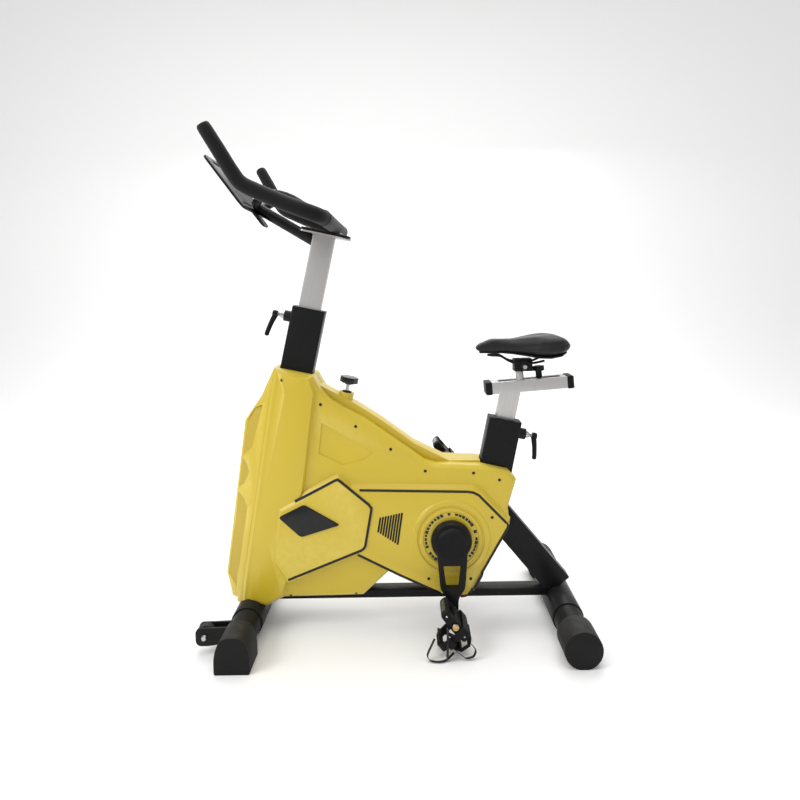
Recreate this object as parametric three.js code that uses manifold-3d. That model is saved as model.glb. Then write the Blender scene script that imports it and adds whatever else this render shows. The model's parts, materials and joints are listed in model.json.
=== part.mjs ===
// Indoor cycling bike: floor frame, housing, belt drive, posts, handlebar, saddle and pedals.
//
// Millimetres and degrees, +Z up. The origin is the middle of the footprint on the floor,
// +X points to the rear of the bike, -X to its front and -Y to the rider's left.

import * as THREE from 'three';
import { mergeVertices } from 'three/addons/utils/BufferGeometryUtils.js';
import Module from 'manifold-3d';

const wasm = await Module();
wasm.setup();

// ---------------------------------------------------------------- driving dimensions

const GAP = 0.3; // between pieces that touch
const RUNNING = 0.6; // round shafts, posts and wheels that move

const FRONT_X = -393; // front stabilizer
const WHEELBASE = 858; // front to rear stabilizer
const STABILIZER = { radius: 38, wall: 2.5, axisHeight: 46, halfWidth: 243, collarRadius: 42,
  collarHalf: 105 };
const CAP = { radius: 46, depth: 75, endWall: 5 };
const WHEEL = { radius: 26, width: 20, reach: 92, sideY: 150, earThickness: 6, pinRadius: 4 };

const RAIL = { width: 40, height: 20, bottom: 63 };
const STRUT = { width: 40, depth: 74 };
const BEAM = { width: 40, height: 44 };
const FORK = { thickness: 8, innerHalf: 30 };

const CRANK = { x: 157, z: 253, armLength: 170, spindleRadius: 10, armInner: 84, armOuter: 118 };
const CRANK_HEAD_RADIUS = 42;
const DUST_CAP = { radius: 55, outerY: 105 };
const SHELL = { radius: 30, wall: 6, halfWidth: 35 };
const PULLEY = { radius: 110, inner: 41, outer: 54, flange: 4 };
const BELT = { width: 9, thickness: 3 };

const FLYWHEEL = { radius: 185, thickness: 24, frontX: -425, floorGap: 40, axleRadius: 8.5,
  pulleyRadius: 25 };
const BEARING = { outer: 20, width: 12 };

const SLEEVE = { length: 92, width: 50, wall: 3 };
const HEAD = { x: -226, z: 877, lean: 12.5, depth: 330 };
const SEAT = { x: 317, z: 559, lean: 12, depth: 350 };
const BAR_POST = { length: 62, width: 30, wall: 2.5, above: 211, below: 150 };
const SEAT_POST = { length: 54, width: 30, wall: 2.5, above: 82, below: 280 };
const BUSHING = { depth: 70, rim: 3 };
const BOSS = { radius: 15.5, length: 20 };
const LEVER = { collarRadius: 9, studRadius: 5, collar: 10, studEnd: 30, headRadius: 9, armLength: 68 };

const BASE_PLATE = { length: 134, width: 90, thickness: 10.5, offset: 6 };
const HANDLEBAR = { radius: 19, halfWidth: 232, tipHalf: 265 };
const GRIP_LOOP = { radius: 12, half: 62 };
const TRAY_TUBE = { radius: 15.5 };
const TRAY = { width: 250, height: 172, thickness: 6, slope: 53.9, x: -241, z: 134, slotLength: 180,
  slotHeight: 12 };

const SEAT_RAIL = { length: 240, height: 32, width: 50, wall: 2.5, tilt: 4, aftOfTop: 51, aboveTop: 19 };
const SLIDER = { length: 90, travel: 50, stubRadius: 11, stubX: -21, knobX: 32, knobStem: 5 };
const SADDLE = { x: 231, z: 753, length: 267, railWire: 3.5, railHalf: 22, padFloor: 6 };

const KNOB = { x: -126, z: 644, radius: 25.5, height: 16, lobes: 6, stemLength: 27, lean: 12 };
const BRAKE = { rodRadius: 5, guideRadius: 9, padGap: 5, padThickness: 12, padAngle: 11, above: 4 };

const PEDAL = { length: 90, width: 70, height: 28, start: 126, spindleRadius: 7, hang: 130.4 };
const CAGE = { thickness: 5, width: 58, mouth: 50 };
const STRAP = { width: 20, thickness: 2 };

const HOUSING = { wall: 4, splitY: 1, ridgeY: 54, flankY: 62, frontY: 72, pentagonY: 78, crankY: 76 };
const SPINE = { half: 26, wall: 4 };
const WINDOW_HALF = 44; // half width of the opening through the covers' bottom and front walls
const PANEL = { thickness: 3 };

// ---------------------------------------------------------------- placed from the dimensions

const REAR_X = FRONT_X + WHEELBASE;
const RAIL_TOP = RAIL.bottom + RAIL.height;
const FLYWHEEL_X = FLYWHEEL.frontX + FLYWHEEL.radius;
const FLYWHEEL_Z = RAIL_TOP + FLYWHEEL.floorGap + FLYWHEEL.radius;
const CAP_INNER = STABILIZER.halfWidth - CAP.depth;

const radians = THREE.MathUtils.degToRad;
const fromCrank = (dx, dz) => [CRANK.x + dx, CRANK.z + dz];
const fromFlywheel = (dx, dz) => [FLYWHEEL_X + dx, FLYWHEEL_Z + dz];
const fromRim = (dx, dz) => [FLYWHEEL_X - FLYWHEEL.radius - dx, FLYWHEEL_Z + dz];

// A frame leaning rearward by a number of degrees, at a point of the middle plane.
function leaningGroup(x, z, lean) {
  const group = new THREE.Group();
  group.position.set(x, 0, z);
  group.rotation.y = radians(lean);
  group.updateMatrix();
  return group;
}

const bike = new THREE.Group();
const headFrame = leaningGroup(HEAD.x, HEAD.z, HEAD.lean);
const seatFrame = leaningGroup(SEAT.x, SEAT.z, SEAT.lean);
const along = (frame, x, z) => {
  const p = new THREE.Vector3(x, 0, z).applyMatrix4(frame.matrix);
  return [p.x, p.z];
};
const [barTopX, barTopZ] = along(headFrame, 0, BAR_POST.above);
const [seatTopX, seatTopZ] = along(seatFrame, 0, SEAT_POST.above);
const barFrame = leaningGroup(barTopX, barTopZ, 0);
const plateFrame = leaningGroup(barTopX, barTopZ, HEAD.lean);
const railFrame = leaningGroup(seatTopX + SEAT_RAIL.aftOfTop, seatTopZ + SEAT_RAIL.aboveTop,
  -SEAT_RAIL.tilt);
const crankFrame = leaningGroup(CRANK.x, CRANK.z, 0);
const flywheelFrame = leaningGroup(FLYWHEEL_X, FLYWHEEL_Z, 0);
const knobFrame = leaningGroup(KNOB.x, KNOB.z, KNOB.lean);
const wholeFrame = new THREE.Group();
const allFrames = [
  headFrame, seatFrame, barFrame, plateFrame, railFrame, crankFrame, flywheelFrame, knobFrame, wholeFrame,
];
allFrames.forEach((frame) => bike.add(frame));

// ---------------------------------------------------------------- materials

const finishes = {
  yellow: { color: 0xd8bf3c, roughness: 0.42, metalness: 0 },
  blackPaint: { color: 0x141415, roughness: 0.38, metalness: 0.3 },
  blackPlastic: { color: 0x121213, roughness: 0.55, metalness: 0 },
  foam: { color: 0x1c1d1e, roughness: 0.85, metalness: 0 },
  silver: { color: 0xbdb8b4, roughness: 0.35, metalness: 0.8 },
  steel: { color: 0x9a9a9c, roughness: 0.3, metalness: 1 },
  iron: { color: 0x4c4d50, roughness: 0.5, metalness: 0.9 },
  rubber: { color: 0x0e0e0f, roughness: 0.8, metalness: 0 },
  leather: { color: 0x151516, roughness: 0.5, metalness: 0 },
  webbing: { color: 0x101011, roughness: 0.9, metalness: 0 },
  felt: { color: 0x5a4a3c, roughness: 1, metalness: 0 },
};

function place(name, geometry, finish, frame = wholeFrame) {
  geometry.computeVertexNormals();
  const mesh = new THREE.Mesh(geometry, new THREE.MeshStandardMaterial(finishes[finish]));
  mesh.name = name;
  frame.add(mesh);
}

// ---------------------------------------------------------------- solids

function positionsOnly(geometry) {
  const loose = geometry.index ? geometry.toNonIndexed() : geometry;
  const bare = new THREE.BufferGeometry();
  bare.setAttribute('position', loose.getAttribute('position').clone());
  return mergeVertices(bare, 1e-4);
}

function toSolid(geometry) {
  const merged = positionsOnly(geometry);
  const vertProperties = new Float32Array(merged.getAttribute('position').array);
  const triVerts = new Uint32Array(merged.getIndex().array);
  return new wasm.Manifold(new wasm.Mesh({ numProp: 3, vertProperties, triVerts }));
}

function toGeometry(solid) {
  const mesh = solid.getMesh();
  const geometry = new THREE.BufferGeometry();
  geometry.setAttribute('position', new THREE.BufferAttribute(new Float32Array(mesh.vertProperties), 3));
  geometry.setIndex(new THREE.BufferAttribute(new Uint32Array(mesh.triVerts), 1));
  return geometry.toNonIndexed();
}

const join = (...parts) => toGeometry(parts.map(toSolid).reduce((sum, part) => sum.add(part)));
const cut = (body, ...tools) => toGeometry(tools.map(toSolid).reduce((rest,
  tool) => rest.subtract(tool), toSolid(body)));
const common = (a, b) => toGeometry(toSolid(a).intersect(toSolid(b)));

// Turns a closed surface right side out.
function outward(geometry) {
  const loose = geometry.index ? geometry.toNonIndexed() : geometry;
  const p = loose.getAttribute('position');
  const [a, b, c] = [new THREE.Vector3(), new THREE.Vector3(), new THREE.Vector3()];
  let volume = 0;
  for (let i = 0; i < p.count; i += 3) {
    a.fromBufferAttribute(p, i);
    b.fromBufferAttribute(p, i + 1);
    c.fromBufferAttribute(p, i + 2);
    volume += a.dot(b.cross(c));
  }
  return volume < 0 ? flipped(loose) : loose;
}

function flipped(loose) {
  const p = loose.getAttribute('position');
  const turned = new Float32Array(p.array.length);
  for (let i = 0; i < p.count; i += 3) {
    [0, 2, 1].forEach((from, to) => {
      for (let k = 0; k < 3; k += 1) turned[(i + to) * 3 + k] = p.array[(i + from) * 3 + k];
    });
  }
  const geometry = new THREE.BufferGeometry();
  geometry.setAttribute('position', new THREE.BufferAttribute(turned, 3));
  return geometry;
}

// The same piece for the rider's right side.
function mirrored(geometry) {
  const bare = positionsOnly(geometry).toNonIndexed();
  bare.scale(1, -1, 1);
  return flipped(bare);
}

const moved = (geometry, x, y, z) => geometry.clone().translate(x, y, z);
const turnedY = (geometry, degrees) => geometry.clone().rotateY(radians(degrees));
const inFrame = (geometry, frame) => geometry.clone().applyMatrix4(frame.matrix);

function block(x0, x1, y0, y1, z0, z1) {
  const box = new THREE.BoxGeometry(x1 - x0, y1 - y0, z1 - z0);
  return box.translate((x0 + x1) / 2, (y0 + y1) / 2, (z0 + z1) / 2);
}

function rod(from, to, radius, sides = 16) {
  const start = new THREE.Vector3(...from);
  const axis = new THREE.Vector3(...to).sub(start);
  const cylinder = new THREE.CylinderGeometry(radius, radius, axis.length(), sides);
  cylinder.applyQuaternion(new THREE.Quaternion().setFromUnitVectors(new THREE.Vector3(0, 1, 0),
    axis.clone().normalize()));
  const middle = start.addScaledVector(axis, 0.5);
  return cylinder.translate(middle.x, middle.y, middle.z);
}

// A body of revolution about the Y axis, from [radius, y] pairs that run round its half section.
function turnedAboutY(profile, sides = 32) {
  return outward(new THREE.LatheGeometry(profile.map(([r, y]) => new THREE.Vector2(r, y)), sides));
}

function ring(outer, inner, y0, y1, sides = 32) {
  return turnedAboutY([[inner, y0], [outer, y0], [outer, y1], [inner, y1], [inner, y0]], sides);
}

function disc(radius, y0, y1, sides = 32) {
  return turnedAboutY([[0, y0], [radius, y0], [radius, y1], [0, y1]], sides);
}

// A closed outline with its corners rounded; a corner may carry its own radius as a third number.
function roundedShape(points, radius = 0) {
  const shape = new THREE.Shape();
  points.forEach((corner, i) => {
    const here = new THREE.Vector2(corner[0], corner[1]);
    const before = new THREE.Vector2(...points.at(i - 1).slice(0, 2)).sub(here);
    const after = new THREE.Vector2(...points[(i + 1) % points.length].slice(0, 2)).sub(here);
    const r = Math.min(corner[2] ?? radius, before.length() * 0.48, after.length() * 0.48);
    const first = here.clone().addScaledVector(before.normalize(), r);
    const last = here.clone().addScaledVector(after.normalize(), r);
    if (i === 0) shape.moveTo(first.x, first.y);
    else shape.lineTo(first.x, first.y);
    if (r > 0) shape.quadraticCurveTo(here.x, here.y, last.x, last.y);
  });
  shape.closePath();
  return shape;
}

const rectangle = (width, height, radius = 0) => roundedShape(
  [[-width / 2, -height / 2], [width / 2, -height / 2], [width / 2, height / 2],
    [-width / 2, height / 2]], radius,
);

function circle(radius, sides = 24, x = 0, y = 0) {
  const points = [];
  for (let i = 0; i < sides; i += 1) {
    const angle = (2 * Math.PI * (i + 0.5)) / sides;
    points.push(new THREE.Vector2(x + radius * Math.cos(angle), y + radius * Math.sin(angle)));
  }
  return new THREE.Shape(points);
}

function extrude(shape, depth, holes = [], curveSegments = 3) {
  const cutShape = shape.clone();
  cutShape.holes = holes;
  return new THREE.ExtrudeGeometry(cutShape, { depth, bevelEnabled: false, curveSegments });
}

// An outline in X and Z, extruded from y0 to y1.
function plate(shape, y0, y1, holes = [], curveSegments = 3) {
  return extrude(shape, y1 - y0, holes, curveSegments).rotateX(Math.PI / 2).translate(0, y1, 0);
}

// An outline in Y and Z, extruded from x0 to x1.
function plateAcross(shape, x0, x1, holes = [], curveSegments = 3) {
  const turn = new THREE.Matrix4().makeBasis(
    new THREE.Vector3(0, 1, 0), new THREE.Vector3(0, 0, 1), new THREE.Vector3(1, 0, 0),
  );
  return extrude(shape, x1 - x0, holes, curveSegments).applyMatrix4(turn).translate(x0, 0, 0);
}

// A rectangular tube along Z with open ends.
function boxTube(length, width, wall, z0, z1, radius = 5) {
  const inner = rectangle(length - 2 * wall, width - 2 * wall, Math.max(radius - wall, 0.5));
  return extrude(rectangle(length, width, radius), z1 - z0, [inner]).translate(0, 0, z0);
}

// A round bar along a curve.
function bar(curve, radius, sides, steps) {
  const path = { extrudePath: curve, steps, bevelEnabled: false };
  return outward(new THREE.ExtrudeGeometry(circle(radius, sides), path));
}

const smoothCurve = (points) => new THREE.CatmullRomCurve3(points.map((p) => new THREE.Vector3(...p)),
  false, 'centripetal');

// A closed solid through rings of the same number of points, listed the same way round.
function loft(rings) {
  const count = rings[0].length;
  const triangles = [];
  const corner = (i, k) => rings[i][(k + count) % count];
  for (let i = 0; i + 1 < rings.length; i += 1) {
    for (let k = 0; k < count; k += 1) {
      triangles.push(corner(i, k), corner(i, k + 1), corner(i + 1, k + 1));
      triangles.push(corner(i, k), corner(i + 1, k + 1), corner(i + 1, k));
    }
  }
  [[0, true], [rings.length - 1, false]].forEach(([i, turn]) => {
    const flat = flatten(rings[i]);
    THREE.ShapeUtils.triangulateShape(flat, []).forEach((face) => {
      const picked = turn ? [face[0], face[2], face[1]] : face;
      picked.forEach((k) => triangles.push(rings[i][k]));
    });
  });
  const geometry = new THREE.BufferGeometry();
  geometry.setAttribute('position', new THREE.Float32BufferAttribute(triangles.flat(), 3));
  return outward(geometry);
}

// A planar ring as 2-D points in its own plane, turning the same way for triangulation.
function flatten(points) {
  const normal = new THREE.Vector3();
  const at = points.map((p) => new THREE.Vector3(...p));
  at.forEach((p, i) => {
    const q = at[(i + 1) % at.length];
    normal.add(new THREE.Vector3((p.y - q.y) * (p.z + q.z), (p.z - q.z) * (p.x + q.x),
      (p.x - q.x) * (p.y + q.y)));
  });
  normal.normalize();
  const side = new THREE.Vector3(Math.abs(normal.x) > 0.9 ? 0 : 1, Math.abs(normal.x) > 0.9 ? 1 : 0, 0);
  const u = side.addScaledVector(normal, -side.dot(normal)).normalize();
  const v = new THREE.Vector3().crossVectors(normal, u);
  return at.map((p) => new THREE.Vector2(p.dot(u), p.dot(v)));
}

const asRing = (outline, y) => outline.map(([x, z]) => [x, y, z]);

// A block with sloping sides: one outline at y0 and one with as many points at y1.
const taper = (lower, y0, upper, y1) => loft([asRing(lower, y0), asRing(upper, y1)]);

// An outline moved out (positive) or in (negative), with one distance for each edge.
function offsetOutline(outline, distance) {
  const area = outline.reduce((sum, [x, z], i) => {
    const [nx, nz] = outline[(i + 1) % outline.length];
    return sum + x * nz - nx * z;
  }, 0);
  const sign = area > 0 ? 1 : -1;
  const lines = outline.map(([x, z], i) => {
    const [nx, nz] = outline[(i + 1) % outline.length];
    const length = Math.hypot(nx - x, nz - z);
    const [dx, dz] = [(nx - x) / length, (nz - z) / length];
    const d = (typeof distance === 'function' ? distance(i) : distance) * sign;
    return { x: x + dz * d, z: z - dx * d, dx, dz };
  });
  return outline.map((_, i) => {
    const a = lines.at(i - 1);
    const b = lines[i];
    const cross = a.dx * b.dz - a.dz * b.dx;
    if (Math.abs(cross) < 1e-3) return [b.x, b.z];
    const t = ((b.x - a.x) * b.dz - (b.z - a.z) * b.dx) / cross;
    return [a.x + a.dx * t, a.z + a.dz * t];
  });
}

// ---------------------------------------------------------------- floor frame

function stabilizerTube() {
  const { radius, wall, halfWidth, collarRadius, collarHalf } = STABILIZER;
  const end = halfWidth - CAP.endWall - GAP;
  return turnedAboutY([
    [radius - wall, -end], [radius, -end], [radius, -collarHalf], [collarRadius, -collarHalf],
    [collarRadius, collarHalf], [radius, collarHalf], [radius, end], [radius - wall,
      end], [radius - wall, -end],
  ], 28);
}

// The end cap of a stabilizer tube: a cup over the tube's end with a flat to stand on.
function footCap(outline) {
  const outer = plate(outline, -STABILIZER.halfWidth, -CAP_INNER, [], 4);
  return cut(outer, disc(STABILIZER.radius + GAP, CAP.endWall - STABILIZER.halfWidth, 1 - CAP_INNER, 28));
}

function frontCapOutline() {
  const { axisHeight } = STABILIZER;
  const side = CAP.radius - 2;
  return roundedShape([
    [-side, -axisHeight, 6], [side, -axisHeight, 6], [side, 4, 24], [side * 0.62, CAP.radius - 1, 20],
    [-side * 0.62, CAP.radius - 1, 20], [-side, 4, 24],
  ]);
}

function rearCapOutline() {
  const points = [];
  for (let i = 0; i < 30; i += 1) {
    const angle = (2 * Math.PI * (i + 0.5)) / 30;
    const radius = CAP.radius + 1.5;
    const height = Math.max(radius * Math.sin(angle), -STABILIZER.axisHeight);
    points.push(new THREE.Vector2(radius * Math.cos(angle), height));
  }
  return new THREE.Shape(points);
}

// One fork for a transport wheel: two ears joined by the axle pin, welded to the stabilizer.
function wheelFork(centreY) {
  const { radius, width, reach, earThickness, pinRadius } = WHEEL;
  const inner = width / 2 + RUNNING;
  const ear = roundedShape([
    [-reach - radius + 3, -radius + 4, 20], [-reach + 12, -radius + 4, 16], [-STABILIZER.radius + 8,
      -14, 2],
    [-STABILIZER.radius + 14, 26, 2], [-reach + 6, radius - 2, 16], [-reach - radius + 3, radius - 2, 20],
  ]);
  const left = plate(ear, centreY - inner - earThickness, centreY - inner, [], 4);
  const right = plate(ear, centreY + inner, centreY + inner + earThickness, [], 4);
  const pin = rod([-reach, centreY - inner - 8, 1], [-reach, centreY + inner + 8, 1], pinRadius, 12);
  const bore = disc(STABILIZER.radius - STABILIZER.wall / 2, centreY - 40, centreY + 40, 28);
  return [left, right, pin].map((piece, i) => (i < 2 ? cut(piece, bore) : piece));
}

function floorFrame() {
  const { axisHeight, collarRadius } = STABILIZER;
  const forks = [-WHEEL.sideY, WHEEL.sideY].flatMap(wheelFork);
  place('front_stabilizer', moved(join(stabilizerTube(), ...forks), FRONT_X, 0, axisHeight), 'blackPaint');
  place('rear_stabilizer', moved(stabilizerTube(), REAR_X, 0, axisHeight), 'blackPaint');

  const frontCap = moved(footCap(frontCapOutline()), FRONT_X, 0, axisHeight);
  const rearCap = moved(footCap(rearCapOutline()), REAR_X, 0, axisHeight);
  place('front_cap_left', frontCap, 'rubber');
  place('front_cap_right', mirrored(frontCap), 'rubber');
  place('rear_cap_left', rearCap, 'rubber');
  place('rear_cap_right', mirrored(rearCap), 'rubber');

  const { radius, width, reach, pinRadius } = WHEEL;
  [['left', -1], ['right', 1]].forEach(([side, sign]) => {
    const tyre = turnedAboutY([
      [pinRadius + RUNNING / 2, -width / 2], [radius - 2, -width / 2], [radius, -width / 2 + 2],
      [radius, width / 2 - 2], [radius - 2, width / 2], [pinRadius + RUNNING / 2, width / 2],
      [pinRadius + RUNNING / 2, -width / 2],
    ], 24);
    const at = moved(tyre, FRONT_X - reach, sign * WHEEL.sideY, axisHeight + 1);
    place(`transport_wheel_${side}`, at, 'rubber');
  });

  const collar = (x) => moved(disc(collarRadius + GAP, -110, 110, 36), x, 0, axisHeight);
  const railSolid = block(FRONT_X, REAR_X, -RAIL.width / 2, RAIL.width / 2, RAIL.bottom, RAIL_TOP);
  place('bottom_rail', cut(railSolid, collar(FRONT_X), collar(REAR_X)), 'blackPaint');

  const rail = block(FRONT_X, REAR_X, -RAIL.width / 2 - 1, RAIL.width / 2 + 1, RAIL.bottom, RAIL_TOP + GAP);
  const strut = cut(rearStrutSolid(0), collar(REAR_X), rail, sleeveSolid(seatFrame, SEAT.depth));
  place('rear_strut', strut, 'blackPaint');
}

// The outside of a sleeve with its gap, for cutting what meets it.
function sleeveSolid(frame, depth, extra = GAP) {
  const shape = rectangle(SLEEVE.length + 2 * extra, SLEEVE.width + 2 * extra, 5);
  return inFrame(extrude(shape, depth + 40 + extra).translate(0, 0, -depth - extra), frame);
}

// The deep bar from the seat sleeve down to the rear stabilizer.
function rearStrutSolid(extra) {
  const [topX, topZ] = along(seatFrame, SLEEVE.length / 2 - 20, -SEAT.depth + 92);
  const end = [REAR_X - 8, STABILIZER.axisHeight + STABILIZER.collarRadius + 10];
  const slope = Math.atan2(topZ - end[1], end[0] - topX);
  const length = Math.hypot(end[0] - topX, end[1] - topZ) + 12;
  const half = STRUT.depth / 2 + extra;
  const width = STRUT.width / 2 + extra;
  return block(0, length, -width, width, -half, half).rotateY(slope).translate(topX, 0, topZ);
}

// ---------------------------------------------------------------- main frame

function sleeve(depth, bossSide) {
  const tube = boxTube(SLEEVE.length, SLEEVE.width, SLEEVE.wall, -depth, 0, 6);
  const face = (bossSide * SLEEVE.length) / 2;
  const from = face - bossSide * SLEEVE.wall * 0.5;
  const boss = rod([from, 0, -30], [face + bossSide * BOSS.length, 0, -30], BOSS.radius, 20);
  const bore = rod([face - bossSide * 10, 0, -30], [face + bossSide * (BOSS.length + 1), 0, -30],
    LEVER.studRadius + RUNNING, 16);
  return cut(join(tube, boss), bore);
}

// The plastic guide between a sleeve and its post, with a rim that lies on the sleeve.
function bushing(post) {
  const length = SLEEVE.length - 2 * SLEEVE.wall - 2 * GAP;
  const width = SLEEVE.width - 2 * SLEEVE.wall - 2 * GAP;
  const hole = rectangle(post.length + 2 * RUNNING, post.width + 2 * RUNNING, 5);
  const guide = extrude(rectangle(length, width, 3), BUSHING.depth + GAP, [hole]).translate(0, 0,
    -BUSHING.depth);
  const rimShape = rectangle(SLEEVE.length, SLEEVE.width, 6);
  const rim = extrude(rimShape, BUSHING.rim, [hole.clone()]).translate(0, 0, GAP);
  const studHole = rod([-SLEEVE.length, 0, -30], [SLEEVE.length, 0, -30], LEVER.studRadius + 2, 16);
  return cut(join(guide, rim), studHole);
}

function mainFrame() {
  place('handlebar_sleeve', sleeve(HEAD.depth, -1), 'blackPaint', headFrame);
  place('handlebar_bushing', bushing(BAR_POST), 'blackPlastic', headFrame);
  place('seat_sleeve', sleeve(SEAT.depth, 1), 'blackPaint', seatFrame);
  place('seat_bushing', bushing(SEAT_POST), 'blackPlastic', seatFrame);

  const guideHole = inFrame(rodAlongZ(BRAKE.guideRadius + GAP, -200, 50), knobFrame);
  const beam = cut(beamSolid(), sleeveSolid(headFrame, HEAD.depth), sleeveSolid(seatFrame, SEAT.depth),
    guideHole);
  place('main_beam', beam, 'blackPaint');

  const fork = forkPlate();
  place('fork_plate_left', fork, 'blackPaint');
  place('fork_plate_right', mirrored(fork), 'blackPaint');
  place('crank_bracket', crankBracket(), 'blackPaint');
}

const rodAlongZ = (radius, z0, z1, sides = 20) => rod([0, 0, z0], [0, 0, z1], radius, sides);

function beamSolid(extra = 0) {
  const [headX, headZ] = along(headFrame, 0, -232);
  const [seatX, seatZ] = along(seatFrame, 0, -200);
  const slope = Math.atan2(headZ - seatZ, seatX - headX);
  const length = Math.hypot(seatX - headX, headZ - seatZ);
  const [half, width] = [BEAM.height / 2 + extra, BEAM.width / 2 + extra];
  const beam = block(0, length, -width, width, -half, half);
  return beam.rotateY(slope).translate(headX, 0, headZ);
}

// One side plate of the flywheel fork, from the handlebar sleeve past the axle to the front stabilizer.
function forkPlate() {
  const [topX, topZ] = along(headFrame, 0, -HEAD.depth + 60);
  const foot = STABILIZER.axisHeight + STABILIZER.collarRadius - 8;
  const outline = roundedShape([
    [FRONT_X - 22, foot, 2], [FRONT_X + 26, foot, 2], [FLYWHEEL_X + 42, FLYWHEEL_Z - 18, 22],
    [FLYWHEEL_X + 38, FLYWHEEL_Z + 34, 22], [topX + 40, topZ - 8, 8], [topX + 30, topZ + 46, 8],
    [topX - 36, topZ + 46, 8], [topX - 40, topZ - 20, 8], [FLYWHEEL_X - 46, FLYWHEEL_Z + 10, 22],
    [FLYWHEEL_X - 48, FLYWHEEL_Z - 24, 22],
  ]);
  const bore = circle(BEARING.outer + GAP, 28, FLYWHEEL_X, FLYWHEEL_Z);
  const y0 = -FORK.innerHalf - FORK.thickness;
  const solid = plate(outline, y0, -FORK.innerHalf, [bore], 4);
  const collar = moved(disc(STABILIZER.collarRadius + GAP, -110, 110, 36), FRONT_X, 0,
    STABILIZER.axisHeight);
  return cut(solid, collar);
}

// The upright that holds the crank's bearing shell, on the bottom rail and against the seat sleeve.
function crankBracket() {
  const { radius, wall, halfWidth } = SHELL;
  const shell = disc(radius, -halfWidth, halfWidth, 32);
  const upright = block(-20, 20, -18, 18, RAIL_TOP + GAP - CRANK.z, 0);
  const brace = block(0, SLEEVE.length * 1.2, -15, 15, -14, 14);
  const bore = disc(radius - wall, -halfWidth - 1, halfWidth + 1, 32);
  const solid = moved(cut(join(shell, upright, brace), bore), CRANK.x, 0, CRANK.z);
  return cut(solid, sleeveSolid(seatFrame, SEAT.depth), rearStrutSolid(GAP));
}

// ---------------------------------------------------------------- drive

function drive() {
  const { spindleRadius, armOuter } = CRANK;
  const bore = SHELL.radius - SHELL.wall;
  const inner = spindleRadius + RUNNING;
  place('bottom_bracket_cartridge', turnedAboutY([
    [inner, -SHELL.halfWidth - 3], [bore - GAP, -SHELL.halfWidth - 3], [bore - GAP, SHELL.halfWidth + 2],
    [inner, SHELL.halfWidth + 2], [inner, -SHELL.halfWidth - 3],
  ]), 'steel', crankFrame);
  place('crank_spindle', disc(spindleRadius, -armOuter + 12, armOuter - 12, 24), 'steel', crankFrame);

  const arm = crankArm();
  place('crank_arm_left', arm, 'blackPaint', crankFrame);
  const rightArm = mirrored(turnedY(arm, 180));
  place('crank_arm_right', rightArm, 'blackPaint', crankFrame);

  place('drive_pulley', pulley(PULLEY.radius, spindleRadius + GAP, 40), 'iron', crankFrame);
  flywheel();
  belt();
}

// A flanged belt pulley on the rider's right, with a bore for its shaft.
function pulley(radius, bore, sides) {
  const { inner, outer, flange } = PULLEY;
  const lip = (outer - inner - BELT.width) / 2 - 0.5;
  return turnedAboutY([
    [bore, inner], [radius + flange, inner], [radius + flange, inner + lip], [radius, inner + lip],
    [radius, outer - lip], [radius + flange, outer - lip], [radius + flange, outer], [bore,
      outer], [bore, inner],
  ], sides);
}

// The left crank arm, straight down: a round head with the dust cap and two legs round a window.
function crankArm() {
  const { armLength, armInner, armOuter, spindleRadius } = CRANK;
  const legs = roundedShape([
    [-CRANK_HEAD_RADIUS, 0, 2], [-33, -115, 8], [-15, -142, 10], [-14, -armLength - 14, 14],
    [14, -armLength - 14, 14], [15, -142, 10], [33, -115, 8], [CRANK_HEAD_RADIUS, 0, 2],
  ]);
  const window = roundedShape([[-24, -54], [-16, -115], [16, -115], [24, -54]], 4);
  const web = plate(legs, -armOuter, -armOuter + 20, [window], 4);
  const cap = DUST_CAP;
  const head = turnedAboutY([
    [0, -armInner], [cap.radius, -armInner], [cap.radius, -cap.outerY + 12], [cap.radius - 5,
      -cap.outerY + 3],
    [CRANK_HEAD_RADIUS + 2, -cap.outerY], [CRANK_HEAD_RADIUS, -cap.outerY], [CRANK_HEAD_RADIUS,
      -armOuter + 2],
    [CRANK_HEAD_RADIUS - 2, -armOuter], [0, -armOuter],
  ], 28);
  const socket = disc(spindleRadius + GAP, -armOuter + 12 - GAP, -armInner + 1, 24);
  const thread = moved(disc(PEDAL.spindleRadius + GAP, -armOuter - 1, -armOuter + 21, 20), 0, 0,
    -armLength);
  return cut(join(web, head), socket, thread);
}

function flywheel() {
  const { radius, thickness, axleRadius, pulleyRadius } = FLYWHEEL;
  const half = thickness / 2;
  const hub = FORK.innerHalf - 6;
  const web = [radius - 40, radius - 48];
  place('flywheel', turnedAboutY([
    [axleRadius + GAP, -hub], [30, -hub], [34, -7], [web[1], -7], [web[0], -half], [radius - 2, -half],
    [radius, -half + 2], [radius, half - 2], [radius - 2, half], [web[0], half], [web[1], 7], [34,
      7], [30, hub],
    [axleRadius + GAP, hub], [axleRadius + GAP, -hub],
  ], 44), 'iron', flywheelFrame);

  const { inner, outer } = PULLEY;
  const axle = disc(axleRadius, -FORK.innerHalf - FORK.thickness - 6, outer - 1, 20);
  const small = pulley(pulleyRadius, axleRadius - 1, 24);
  place('flywheel_axle', join(axle, small), 'steel', flywheelFrame);

  const y0 = -FORK.innerHalf - (FORK.thickness + BEARING.width) / 2;
  const race = ring(BEARING.outer, axleRadius + RUNNING / 2, y0, y0 + BEARING.width - 1, 28);
  const limit = Math.min(y0 + BEARING.width - 1, -FORK.innerHalf + 1);
  const bearing = common(race, block(-30, 30, y0 - 1, limit, -30, 30));
  place('flywheel_bearing_left', bearing, 'steel', flywheelFrame);
  const rightLimit = block(-30, 30, 0, inner - 1, -30, 30);
  place('flywheel_bearing_right', common(mirrored(bearing), rightLimit), 'steel', flywheelFrame);
}

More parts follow.
